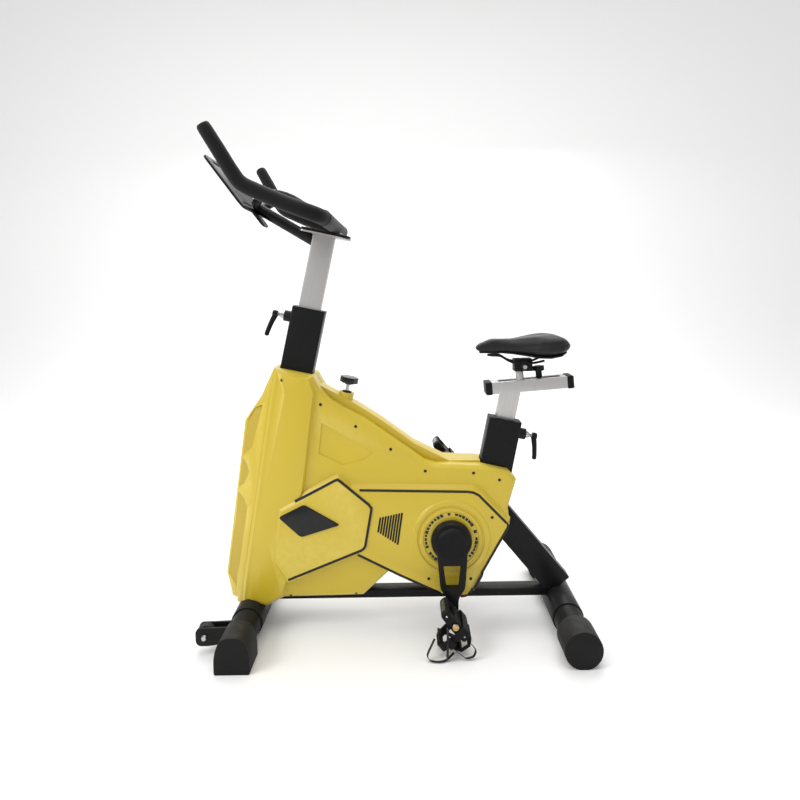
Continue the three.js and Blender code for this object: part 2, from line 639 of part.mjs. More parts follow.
// The belt: a flat band round the drive pulley and the small pulley, straight between them.
function belt() {
  const middle = (PULLEY.inner + PULLEY.outer) / 2;
  const [dx, dz] = [CRANK.x - FLYWHEEL_X, CRANK.z - FLYWHEEL_Z];
  const distance = Math.hypot(dx, dz);
  const facing = Math.atan2(dz, dx);
  const loop = (extra) => {
    const [big, small] = [PULLEY.radius + extra, FLYWHEEL.pulleyRadius + extra];
    const lean = Math.acos((big - small) / distance);
    const points = [];
    const arc = (x, z, radius, from, to, steps) => {
      for (let i = 0; i <= steps; i += 1) {
        const angle = from + ((to - from) * i) / steps;
        points.push(new THREE.Vector2(x + radius * Math.cos(angle), z + radius * Math.sin(angle)));
      }
    };
    arc(CRANK.x, CRANK.z, big, facing - Math.PI + lean, facing + Math.PI - lean, 36);
    arc(FLYWHEEL_X, FLYWHEEL_Z, small, facing + Math.PI - lean, facing + Math.PI + lean, 14);
    return new THREE.Shape(points);
  };
  const band = plate(loop(RUNNING + BELT.thickness), middle - BELT.width / 2, middle + BELT.width / 2,
    [loop(RUNNING)]);
  place('drive_belt', band, 'rubber');
}

// ---------------------------------------------------------------- resistance brake

// Distance from the knob frame's origin, down its axis, to a circle round the flywheel axle.
function depthToRadius(radius) {
  const lean = radians(KNOB.lean);
  const [dx, dz] = [knobFrame.position.x - FLYWHEEL_X, knobFrame.position.z - FLYWHEEL_Z];
  const half = dx * Math.sin(lean) + dz * Math.cos(lean);
  return half - Math.sqrt(half * half - (dx * dx + dz * dz - radius * radius));
}

function brake() {
  const rimRadius = FLYWHEEL.radius + BRAKE.padGap;
  const rodEnd = -depthToRadius(rimRadius + BRAKE.padThickness) + 8;
  const shape = knobShape(KNOB.radius, KNOB.lobes);
  const { stemLength, height } = KNOB;
  const cap = extrude(shape, height).translate(0, 0, stemLength);
  const neck = rodAlongZ(10, stemLength - 5, stemLength + 2);
  const bore = rodAlongZ(BRAKE.rodRadius + GAP, 0, stemLength + 8);
  place('resistance_knob', cut(join(cap, neck), bore), 'blackPlastic', knobFrame);
  place('brake_rod', rodAlongZ(BRAKE.rodRadius, rodEnd, stemLength + 8 - GAP, 16), 'steel', knobFrame);

  const guide = cut(
    join(rodAlongZ(BRAKE.guideRadius, -95, BRAKE.above), rodAlongZ(13, -4, BRAKE.above - 1)),
    rodAlongZ(BRAKE.rodRadius + RUNNING, -100, 20),
  );
  place('brake_guide', guide, 'blackPlastic', knobFrame);
  place('brake_pad', brakePad(rimRadius, rodEnd), 'felt');
}

function knobShape(radius, lobes) {
  const points = [];
  const steps = lobes * 6;
  for (let i = 0; i < steps; i += 1) {
    const angle = (2 * Math.PI * i) / steps;
    const r = radius * (0.93 + 0.07 * Math.cos(lobes * angle));
    points.push(new THREE.Vector2(r * Math.cos(angle), r * Math.sin(angle)));
  }
  return new THREE.Shape(points);
}

// A curved pad over the flywheel's rim, with a stem up to the rod.
function brakePad(rimRadius, rodEnd) {
  const depth = depthToRadius(rimRadius);
  const lean = radians(KNOB.lean);
  const touchX = knobFrame.position.x - depth * Math.sin(lean) - FLYWHEEL_X;
  const touchZ = knobFrame.position.z - depth * Math.cos(lean) - FLYWHEEL_Z;
  const middle = Math.atan2(touchZ, touchX);
  const spread = radians(BRAKE.padAngle);
  const points = [];
  [[rimRadius, -1], [rimRadius + BRAKE.padThickness, 1]].forEach(([radius, way]) => {
    for (let i = -4; i <= 4; i += 1) {
      const angle = middle + (way * i * spread) / 4;
      points.push(new THREE.Vector2(FLYWHEEL_X + radius * Math.cos(angle),
        FLYWHEEL_Z + radius * Math.sin(angle)));
    }
  });
  const arc = plate(new THREE.Shape(points), -12, 12);
  const stem = inFrame(rodAlongZ(9, rodEnd - 12, rodEnd - GAP, 16), knobFrame);
  return join(arc, stem);
}

// ---------------------------------------------------------------- handlebar

// Half of the handlebar's run, from the cross bar's middle to the left tip, from the post's top.
const BAR_RUN = [
  [28, 0, 25], [28, -100, 25], [27, -178, 26], [16, -216, 30], [-12, -229, 40], [-67,
    -HANDLEBAR.halfWidth, 61],
  [-128, -235, 88], [-162, -239, 106], [-182, -243, 133], [-212, -254, 187], [-242, -HANDLEBAR.tipHalf,
    240],
];

function wholeRun(half) {
  const other = half.slice(1).map(([x, y, z]) => [x, -y, z]);
  return [...half.slice().reverse(), ...other];
}

const LOOP_RUN = [[-183, 0, 83], [-182, -28, 84], [-170, -52, 92], [-140, -62, 108],
  [-88, -GRIP_LOOP.half, 99],
  [-22, -GRIP_LOOP.half, 58], [28, -GRIP_LOOP.half, 25]];

function handlebar() {
  const post = boxTube(BAR_POST.length, BAR_POST.width, BAR_POST.wall, -BAR_POST.below, BAR_POST.above, 4);
  place('handlebar_post', post, 'silver', headFrame);

  const { length, width, thickness, offset } = BASE_PLATE;
  const outline = roundedShape([
    [offset - length / 2, -width / 2, 10], [offset + length / 2, -width / 2, 42],
    [offset + length / 2, width / 2, 42], [offset - length / 2, width / 2, 10],
  ]);
  const basePlate = extrude(outline, thickness - GAP, [], 5).translate(0, 0, GAP);
  place('handlebar_plate', basePlate, 'blackPaint', plateFrame);

  const run = smoothCurve(wholeRun(BAR_RUN));
  place('handlebar', bar(run, HANDLEBAR.radius, 12, 48), 'foam', barFrame);

  const tray = trayPlate();
  const clear = {
    bar: bar(run, HANDLEBAR.radius + GAP, 12, 48),
    tray: trayBlank(TRAY.thickness / 2 + GAP, 3),
    post: turnedY(block(-BAR_POST.length / 2 - GAP, BAR_POST.length / 2, -30, 30, -120, GAP), HEAD.lean),
    plate: turnedY(block(offset - length / 2 - GAP, length, -width / 2, width / 2, 0, thickness + GAP),
      HEAD.lean),
  };
  const loop = bar(smoothCurve(wholeRun(LOOP_RUN)), GRIP_LOOP.radius, 10, 32);
  const support = bar(smoothCurve([[0, 0, -34], [-34, 0, -12], [-90, 0, 22], [-146, 0, 56], [-186, 0, 80]]),
    TRAY_TUBE.radius, 12, 10);
  const frame = cut(join(loop, support), clear.bar, clear.tray, clear.post, clear.plate);
  place('grip_loop', frame, 'blackPaint', barFrame);
  place('tablet_tray', cut(tray, clear.bar), 'blackPlastic', barFrame);
  clampLever('handlebar', headFrame, -1);
}

// The tray's blank, with its slope and place: a plate and the tongue at its lower edge.
function trayBlank(half, grow, holes = []) {
  const [w, h] = [TRAY.width / 2 + grow, TRAY.height / 2 + grow];
  const outline = roundedShape([
    [h, -w, 26], [h, w, 26], [-h, w, 26], [-h, 34 + grow, 4], [-h - 46, 30 + grow, 12],
    [-h - 46, -30 - grow, 12], [-h, -34 - grow, 4], [-h, -w, 26],
  ]);
  const solid = extrude(outline, 2 * half, holes, 4).translate(0, 0, -half);
  return solid.rotateY(radians(TRAY.slope - 180)).translate(TRAY.x, 0, TRAY.z);
}

function trayPlate() {
  const { height, slotLength, slotHeight } = TRAY;
  const slot = (x) => roundedShape([
    [x - slotHeight / 2, -slotLength / 2], [x + slotHeight / 2, -slotLength / 2],
    [x + slotHeight / 2, slotLength / 2], [x - slotHeight / 2, slotLength / 2],
  ], 5);
  const far = height / 2 - 20;
  const screws = [-height / 2 - 14, -height / 2 - 34].map((x) => circle(3.5, 12, x, 0));
  return trayBlank(TRAY.thickness / 2, 0, [slot(far), slot(-far), ...screws]);
}

// A clamp stud with its collar and L-handle, on the boss of a sleeve.
function clampLever(name, frame, side) {
  const start = side * (SLEEVE.length / 2 + BOSS.length);
  const { collarRadius, studRadius, collar, studEnd, headRadius, armLength } = LEVER;
  const inner = start - side * (BOSS.length - 2);
  const stud = rod([inner, 0, -30], [start + side * studEnd, 0, -30], studRadius, 14);
  const nut = rod([start + side * GAP, 0, -30], [start + side * collar, 0, -30], collarRadius, 6);
  const headEnd = start + side * (studEnd + 2);
  const headStart = start + side * (studEnd - 16);
  const head = rod([headStart, 0, -30], [headEnd, 0, -30], headRadius, 14);
  const arm = smoothCurve([
    [headStart + side * 8, 0, -30], [headEnd, 0, -44], [headEnd + side * 8, 0, -30 - armLength],
  ]);
  const handle = join(stud, nut, head, bar(arm, 6.5, 10, 8));
  place(`${name}_clamp_lever`, handle, 'blackPlastic', frame);
}

// ---------------------------------------------------------------- seat

function seat() {
  const { length, height, width, wall } = SEAT_RAIL;
  const reach = length / 2 - 8;
  const outerBox = block(-reach, reach, -width / 2, width / 2, -height / 2, height / 2);
  const innerBox = block(-reach - 1, reach + 1, wall - width / 2, width / 2 - wall, wall - height / 2,
    height / 2 - wall);
  const slotEnds = [SLIDER.stubX - SLIDER.stubRadius - SLIDER.travel - 2,
    SLIDER.knobX + 8 + SLIDER.travel + 2];
  const slotHalf = SLIDER.stubRadius + 1;
  const slot = block(slotEnds[0], slotEnds[1], -slotHalf, slotHalf, height / 2 - wall - 1, height / 2 + 1);
  const rail = inFrame(cut(outerBox, innerBox, slot), railFrame);

  const tube = boxTube(SEAT_POST.length, SEAT_POST.width, SEAT_POST.wall, -SEAT_POST.below,
    SEAT_POST.above + 40, 4);
  const above = block(-200, 200, -100, 100, wall / 2 - height / 2, 100);
  const post = cut(inFrame(tube, seatFrame), inFrame(above, railFrame));
  place('seat_post', join(rail, post), 'silver');

  const gap = RUNNING;
  const body = block(-SLIDER.length / 2, SLIDER.length / 2, wall + gap - width / 2, width / 2 - wall - gap,
    wall + gap - height / 2, height / 2 - wall - gap);
  const stub = rod([SLIDER.stubX, 0, 0], [SLIDER.stubX - 2, 0, 52], SLIDER.stubRadius, 20);
  const thread = rod([SLIDER.knobX, 0, 2], [SLIDER.knobX, 0, 40], SLIDER.knobStem + GAP, 14);
  place('seat_slider', cut(join(body, stub), thread), 'silver', railFrame);

  const knob = extrude(knobShape(16.5, 4), 13).translate(SLIDER.knobX, 0, 36);
  const neck = rod([SLIDER.knobX, 0, 17.5], [SLIDER.knobX, 0, 37], 9, 16);
  const stem = rod([SLIDER.knobX, 0, 4], [SLIDER.knobX, 0, 18], SLIDER.knobStem, 14);
  place('slider_knob', join(knob, neck, stem), 'blackPlastic', railFrame);
  saddle();
  clampLever('seat', seatFrame, 1);
}

// Stations of the saddle from nose to rear: distance from the nose, half width, top, underside.
const SADDLE_STATIONS = [
  [3, 12, 12, -2], [12, 19, 21, -6], [44, 23, 31, -6], [76, 27, 30, -6], [106, 34, 30, -8], [140, 50,
    35, -12],
  [176, 68, 41, -17], [208, 77, 44, -17], [238, 74, 42, -12], [256, 60, 34, -4], [SADDLE.length - 1, 40,
    22, 4],
];

function saddleSection(x, half, top, bottom) {
  const points = [];
  const steps = 14;
  for (let i = 0; i < steps; i += 1) {
    const angle = (2 * Math.PI * (i + 0.5)) / steps;
    const side = Math.sign(Math.cos(angle)) * Math.abs(Math.cos(angle)) ** 0.7;
    const lift = Math.sin(angle);
    const middle = (top + bottom) / 2;
    const edge = lift > 0 ? (top - middle) * lift ** 0.6 : -(middle - bottom) * (-lift) ** 0.35;
    points.push([x, half * side, middle + edge]);
  }
  return points;
}

function saddle() {
  const group = leaningGroup(SADDLE.x, SADDLE.z, 0);
  bike.add(group);
  const floor = SADDLE.padFloor;
  const pad = loft(SADDLE_STATIONS.map(([x, half, top, bottom]) => saddleSection(x, half, top,
    bottom + floor)));
  place('saddle_pad', pad, 'leather', group);
  const shell = SADDLE_STATIONS.slice(1, -1).map(([x, half, , bottom]) => [
    [x, -half + 6, bottom + floor - GAP - 0.6], [x, half - 6, bottom + floor - GAP - 0.6],
    [x, half - 10, bottom + 0.6], [x, -half + 10, bottom + 0.6],
  ]);
  place('saddle_base', cut(loft(shell), pad), 'blackPlastic', group);

  const { railWire, railHalf } = SADDLE;
  const wire = [[42, 0, -11], [52, -9, -11.5], [76, -15, -13], [90, -19, -22], [108, -railHalf, -30],
    [160, -railHalf, -33], [176, -25, -30], [192, -34, -25]];
  const rails = bar(smoothCurve(wholeRun(wire)), railWire, 8, 36);
  place('saddle_rails', rails, 'blackPaint', group);

  const inner = railHalf - railWire - 1.5;
  const outer = railHalf + railWire + 1.5;
  const clampBody = block(113, 163, -inner, inner, -56, -22);
  const bolt = rod([139, -outer - 6, -42], [139, outer + 6, -42], 4, 12);
  const cheeks = [-1, 1].map((s) => rod([139, s * outer, -38], [139, s * (outer + 5), -38], 13, 16));
  const stubHole = inFrame(rod([SLIDER.stubX, 0, 0], [SLIDER.stubX - 2.1, 0, 55],
    SLIDER.stubRadius + GAP, 20), railFrame);
  stubHole.translate(-group.position.x, 0, -group.position.z);
  place('saddle_clamp', cut(join(clampBody, bolt, ...cheeks), stubHole), 'blackPlastic', group);
}

// ---------------------------------------------------------------- pedals

// The cage's side view in the pedal's own frame: out from the toe edge, up, and back over the toe.
const CAGE_PATH = [[-PEDAL.length / 2 - 4, -8], [-63, 8], [-60, 33], [-34, 46], [-4, 60]];

function stripOutline(path, half) {
  const sides = [[], []];
  path.forEach(([x, z], i) => {
    const [ax, az] = path[Math.max(i - 1, 0)];
    const [bx, bz] = path[Math.min(i + 1, path.length - 1)];
    const length = Math.hypot(bx - ax, bz - az);
    const [nx, nz] = [(-(bz - az) / length) * half, ((bx - ax) / length) * half];
    sides[0].push([x + nx, z + nz, 2]);
    sides[1].push([x - nx, z - nz, 2]);
  });
  return roundedShape([...sides[0], ...sides[1].reverse()]);
}

function pedalPieces() {
  const { length, width, height, start, spindleRadius } = PEDAL;
  const [y0, y1] = [-start - width, -start];
  const side = roundedShape([
    [-length / 2, -height / 2 + 3, 7], [length / 2, -height / 2 + 3, 7], [length / 2, height / 2 - 3, 7],
    [14, height / 2, 5], [-14, height / 2, 5], [-length / 2, height / 2 - 3, 7],
  ]);
  const bore = circle(spindleRadius + RUNNING / 2, 20);
  const windows = [-1, 1].map((s) => block(s * 24 - 11, s * 24 + 11, y0 + 12, y1 - 12, -40, 40));
  const body = cut(plate(side, y0, y1, [bore], 3), ...windows);

  const { thickness, width: cageWidth, mouth } = CAGE;
  const middle = (y0 + y1) / 2;
  const strip = plate(stripOutline(CAGE_PATH, thickness / 2), middle - cageWidth / 2,
    middle + cageWidth / 2);
  const hollow = (cageWidth - 18) / 2;
  const toe = block(-56, -14, middle - hollow, middle + hollow, 20, 80);
  const nose = block(-80, -52, middle - hollow, middle + hollow, 12, 30);
  const cage = cut(strip, toe, nose, plate(side, y0 - 1, y1 + 1));

  const top = mouth + 20;
  const outer = roundedShape([
    [y0 - 4, -height / 2 - 3], [y1 + 3, -height / 2 - 3], [y1 + 3, height / 2 + 6], [middle + 34, top],
    [middle - 34, top], [y0 - 4, height / 2 + 6],
  ], 5);
  const t = STRAP.thickness;
  const inner = roundedShape([
    [y0 - 4 + t, -height / 2 - 3 + t], [y1 + 3 - t, -height / 2 - 3 + t], [y1 + 3 - t, height / 2 + 6],
    [middle + 34 - t, top - t], [middle - 34 + t, top - t], [y0 - 4 + t, height / 2 + 6],
  ], 4);
  const strapFront = -spindleRadius - 4 - STRAP.width;
  const strapBand = plateAcross(outer, strapFront, strapFront + STRAP.width, [inner]);
  const spindle = turnedAboutY([
    [0, -start - width - 3], [spindleRadius + 1.5, -start - width - 3], [spindleRadius + 1.5,
      -start - width - GAP],
    [spindleRadius, -start - width - GAP], [spindleRadius, -CRANK.armOuter + 18], [0, -CRANK.armOuter + 18],
  ], 20);
  const wrench = rod([0, -start + GAP + 1, 0], [0, -CRANK.armOuter - GAP, 0], spindleRadius + 3, 6);
  return { pedal: body, toe_cage: cage, toe_strap: strapBand, pedal_spindle: join(spindle, wrench) };
}

function pedals() {
  const pieces = pedalPieces();
  const looks = { pedal: 'blackPlastic', toe_cage: 'blackPlastic', toe_strap: 'webbing',
    pedal_spindle: 'steel' };
  [['left', -1], ['right', 1]].forEach(([side, way]) => {
    const frame = leaningGroup(CRANK.x, CRANK.z + way * CRANK.armLength, -PEDAL.hang);
    bike.add(frame);
    Object.entries(pieces).forEach(([name, geometry]) => {
      place(`${name}_${side}`, way < 0 ? geometry.clone() : mirrored(geometry), looks[name], frame);
    });
  });
}

// ---------------------------------------------------------------- housing

// Line where the side covers meet the front cover, from the top down, and the nose line in front of it.
const SEAM = [
  along(headFrame, -54, -173), fromRim(-94, 334), fromRim(-82, 263), fromRim(-48, 49), fromRim(-31, -38),
  fromRim(-12, -166), fromRim(-4, -236),
];
const NOSE = [
  [fromRim(-100, 0)[0], 18], [fromRim(-64, 0)[0], 16], [fromRim(-15, 0)[0], 14], [fromRim(18, 0)[0], 14],
  [fromRim(28, 0)[0], 14], [fromRim(46, 0)[0], 16], [fromRim(22, 0)[0], 36],
];

// The side covers' outline, from the seam's foot along the bottom to the rear and back over the top.
const BOTTOM = [
  fromFlywheel(-111, -244), fromFlywheel(-63, -219), fromFlywheel(155, -216), fromCrank(-169, -95),
  fromCrank(-24, -162), fromCrank(23, -169), fromCrank(48, -166),
];
const REAR = [fromCrank(163, 32), fromCrank(158, 76), along(seatFrame, 53, -144),
  along(seatFrame, 30, -128)];
const TOP = [
  along(seatFrame, -55, -126), fromCrank(-40, 199), fromCrank(-68, 209), [-69, 576], [-170, 635], [-195,
    664],
  along(headFrame, 52, -172),
];
const SIDE = [SEAM.at(-1), ...BOTTOM, ...REAR, ...TOP, ...SEAM.slice(0, -1)];

const FRONT_BLOCK = {
  base: [...SEAM, fromFlywheel(-111, -244), fromFlywheel(-63, -219), fromFlywheel(-40, -160),
    fromFlywheel(8, 107),
    [-200, 660], along(headFrame, 50, -172)],
  top: [[-296, 706], [-286, 650], [-300, 571], fromRim(-90, 49), fromRim(-78, -38), fromRim(-56, -160),
    fromRim(-46, -216), fromFlywheel(-111, -228), fromFlywheel(-68, -206), fromFlywheel(-50, -155),
    fromFlywheel(-2, 107), [-210, 655], [-222, 690]],
};
const PENTAGON = {
  base: [fromFlywheel(-90, 42), fromFlywheel(-50, 58), fromFlywheel(93, 129), fromFlywheel(198, 44),
    fromFlywheel(177, -86), fromFlywheel(-60, -184), fromFlywheel(-112, -128)],
  top: [fromFlywheel(-60, 27), fromFlywheel(-24, 46), fromFlywheel(93, 114), fromFlywheel(184, 38),
    fromFlywheel(164, -76), fromFlywheel(-46, -168), fromFlywheel(-80, -110)],
};
const CRANK_BLOCK = {
  base: [fromCrank(-290, 155), fromCrank(61, 148), fromCrank(90, 137), fromCrank(164, 50),
    fromCrank(162, 28),
    fromCrank(49, -165), fromCrank(23, -168), fromCrank(-24, -161), fromCrank(-177,
      -90), fromCrank(-260, -50)],
  top: [fromCrank(-280, 142), fromCrank(58, 137), fromCrank(82, 127), fromCrank(152, 45),
    fromCrank(150, 30),
    fromCrank(42, -153), fromCrank(22, -156), fromCrank(-22, -149), fromCrank(-175,
      -78), fromCrank(-250, -43)],
};
const RECESS = [[-190, 572], [-50, 488], [-75, 470], [-133, 455], [-199, 487]];

const SPINE_TOP = [
  along(headFrame, 47, -190), [-146, 640], [-96, 612], [-27, 567], [62, 501], [158, 452],
  along(seatFrame, -49, -120),
];
const SPINE_OUTLINE = [...SPINE_TOP, along(seatFrame, -49, -138), [150, 424], [50, 462], [-30, 522],
  [-150, 596], along(headFrame, 47, -222)];

// The outside of the left cover, or with a wall thickness the space inside it.
function coverSolid(wall) {
  const { ridgeY, flankY, frontY, pentagonY, crankY } = HOUSING;
  const grow = (outline) => (wall ? offsetOutline(outline, -wall) : outline);
  const side = grow(SIDE);
  const top = wall ? 1 : 0;
  const level = (y) => -(y - wall);
  const raise = ({ base, top: upper }, from, to) => taper(grow(base), level(from), grow(upper), level(to));
  const prism = (outline, y) => plate(roundedShape(outline), level(y), top);
  const slope = taper(side, level(ridgeY), offsetOutline(side, -9), level(flankY));
  const parts = [
    prism(side, ridgeY), slope, prism(grow(FRONT_BLOCK.base), ridgeY), raise(FRONT_BLOCK, ridgeY, frontY),
    raise(PENTAGON, flankY - 6, pentagonY), raise(CRANK_BLOCK, flankY - 6, crankY),
  ];
  return join(...parts);
}

// Rings and hub round the crank, on the outside of a cover.
function crankBoss() {
  const { crankY } = HOUSING;
  const rings = turnedAboutY([
    [0, -crankY + 10], [107, -crankY + 10], [107, -crankY], [104, -crankY - 3], [92, -crankY - 3], [90,
      -crankY],
    [86, -crankY], [84, -crankY - 4], [76, -crankY - 4], [74, -crankY - 2], [0, -crankY - 2],
  ], 36);
  return moved(rings, CRANK.x, 0, CRANK.z);
}

function leftCover() {
  const outer = join(coverSolid(0), crankBoss());
  const insideFront = (i) => (i <= 7 || i >= SIDE.length - 6 ? 14 : -14);
  const window = plate(roundedShape(offsetOutline(SIDE, insideFront)), -WINDOW_HALF, 2);
  const recess = taper(RECESS, -HOUSING.flankY - 1, RECESS, -HOUSING.flankY + 2.5);
  const spine = plate(roundedShape(offsetOutline(SPINE_OUTLINE, GAP)), -SPINE.half - GAP, 2);
  const split = block(-700, 700, -HOUSING.splitY / 2, 60, 0, 1000);
  const crankHole = moved(disc(20, -120, 20, 32), CRANK.x, 0, CRANK.z);
  const collar = moved(disc(STABILIZER.collarRadius + GAP, -110, 110, 36), FRONT_X, 0,
    STABILIZER.axisHeight);
  const rail = block(-500, 500, -RAIL.width / 2 - 2, 5, 0, RAIL_TOP + 4);
  const sleeves = [sleeveSolid(headFrame, HEAD.depth, 0.6), sleeveSolid(seatFrame, SEAT.depth, 0.6)];
  const tools = [window, recess, spine, split, crankHole, collar, rail, rearStrutSolid(0.8), ...sleeves];
  return cut(outer, coverSolid(HOUSING.wall), ...tools);
}

// The V-shaped front cover: rings of seam and nose points, from the top down.
function frontCover() {
  const { ridgeY, wall } = HOUSING;
  const rings = (inset) => SEAM.map(([x, z], i) => {
    const [noseX, half] = NOSE[i];
    const back = x - GAP + (inset ? 2 : 0);
    const level = z - (inset && i === 0 ? wall : 0);
    const y = ridgeY - inset;
    return [[back, -y, level], [noseX + inset, -half, level], [noseX + inset, half, level],
      [back, y, level]];
  });
  const outer = loft(rings(0));
  const inner = loft(rings(wall));
  const below = block(-600, -200, -WINDOW_HALF, WINDOW_HALF, 0, SEAM.at(-1)[1] + 12);
  const collar = moved(disc(STABILIZER.collarRadius + GAP, -110, 110, 36), FRONT_X, 0,
    STABILIZER.axisHeight);
  const sleeveCut = sleeveSolid(headFrame, HEAD.depth, 0.6);
  return cut(outer, inner, below, collar, sleeveCut);
}

function spineCover() {
  const outer = plate(roundedShape(SPINE_OUTLINE), -SPINE.half, SPINE.half);
  const bump = inFrame(rodAlongZ(21, -30, 0, 24), knobFrame);
  const lower = SPINE_OUTLINE.map(([x, z], i) => (i < SPINE_TOP.length ? [x, z - SPINE.wall] : [x,
    z - 20]));
  const inner = plate(roundedShape(lower), -SPINE.half + SPINE.wall, SPINE.half - SPINE.wall);
  const hole = inFrame(rodAlongZ(BRAKE.guideRadius + GAP, -120, 20), knobFrame);
  const seatFlange = inFrame(rodAlongZ(13 + GAP, -4 - GAP, 20), knobFrame);
  const sleeves = [sleeveSolid(headFrame, HEAD.depth, 0.6), sleeveSolid(seatFrame, SEAT.depth, 0.6)];
  return cut(join(outer, bump), inner, hole, seatFlange, beamSolid(GAP), ...sleeves);
}

function housing() {
  const left = leftCover();
  place('left_cover', left, 'yellow');
  place('right_cover', mirrored(left), 'yellow');
  place('front_cover', frontCover(), 'yellow');
  place('spine_cover', spineCover(), 'yellow');

  const diamond = roundedShape([
    [...fromFlywheel(-69, 12), 8], [...fromFlywheel(1, 46), 8], [...fromFlywheel(98, -11), 8],
    [...fromFlywheel(-9, -43), 8],
  ]);
  const y = -HOUSING.pentagonY - GAP;
  const panel = plate(diamond, y - PANEL.thickness, y);
  place('left_panel', panel, 'blackPlastic');
  place('right_panel', mirrored(panel), 'blackPlastic');
}

floorFrame();
mainFrame();
drive();
brake();
handlebar();
seat();
pedals();
housing();

export default bike;
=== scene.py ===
"""Looks of an indoor cycling bike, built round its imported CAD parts.

Metres, +Z up, +X to the rear and -Y to the rider's left, as in the CAD frame.
Each sub-assembly is a class that holds its sizes and makes, dresses and mounts its own pieces.
"""

import json
import logging
import math
from dataclasses import dataclass, field
from enum import Enum
from typing import Any, Iterable, Sequence

import bmesh
import bpy
import numpy as np
from mathutils import Matrix, Vector
from mathutils.bvhtree import BVHTree

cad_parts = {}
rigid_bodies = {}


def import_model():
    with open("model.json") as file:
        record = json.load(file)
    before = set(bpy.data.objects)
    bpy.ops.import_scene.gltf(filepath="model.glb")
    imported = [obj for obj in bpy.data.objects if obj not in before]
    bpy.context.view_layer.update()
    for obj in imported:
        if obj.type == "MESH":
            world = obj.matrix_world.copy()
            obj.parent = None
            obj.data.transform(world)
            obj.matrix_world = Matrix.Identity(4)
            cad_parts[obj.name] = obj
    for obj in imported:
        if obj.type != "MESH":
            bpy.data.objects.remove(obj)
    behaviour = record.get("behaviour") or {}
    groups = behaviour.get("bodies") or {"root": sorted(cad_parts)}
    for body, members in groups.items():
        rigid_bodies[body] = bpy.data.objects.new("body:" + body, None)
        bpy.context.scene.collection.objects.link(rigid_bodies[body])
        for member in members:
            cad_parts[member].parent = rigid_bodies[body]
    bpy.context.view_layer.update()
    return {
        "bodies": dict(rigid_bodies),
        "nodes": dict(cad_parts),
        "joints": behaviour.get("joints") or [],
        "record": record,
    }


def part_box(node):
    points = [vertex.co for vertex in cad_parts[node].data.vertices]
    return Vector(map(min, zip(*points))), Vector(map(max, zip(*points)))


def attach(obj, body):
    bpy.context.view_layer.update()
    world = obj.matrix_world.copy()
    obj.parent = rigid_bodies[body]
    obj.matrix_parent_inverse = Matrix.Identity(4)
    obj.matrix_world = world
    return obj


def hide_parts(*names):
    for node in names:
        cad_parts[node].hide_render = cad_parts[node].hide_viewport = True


LOG = logging.getLogger("bike")
MM = 0.001
SEED = 7

Point = tuple[float, float, float]
Flat = tuple[float, float]


class Side(Enum):
    """The rider's side on which a piece sits, with the sign of its Y."""

    LEFT = -1
    RIGHT = 1

    @property
    def word(self) -> str:
        """The side's word in node names."""
        return self.name.lower()


class Motion(Enum):
    """The moving bodies that pieces ride on."""

    FRAME = "frame"
    CRANK = "crank"
    LEFT_PEDAL = "left_pedal"
    RIGHT_PEDAL = "right_pedal"
    HANDLEBAR = "handlebar"
    BAR_CLAMP = "handlebar_clamp"
    SEAT_POST = "seat_post"
    SEAT_CLAMP = "seat_clamp"
    SLIDER = "seat_slider"
    SLIDER_KNOB = "slider_knob"
    SADDLE = "saddle"
    KNOB = "resistance_knob"
    BRAKE_ROD = "brake_rod"
    LEFT_WHEEL = "left_wheel"
    RIGHT_WHEEL = "right_wheel"


# ------------------------------------------------------------------ shader groups


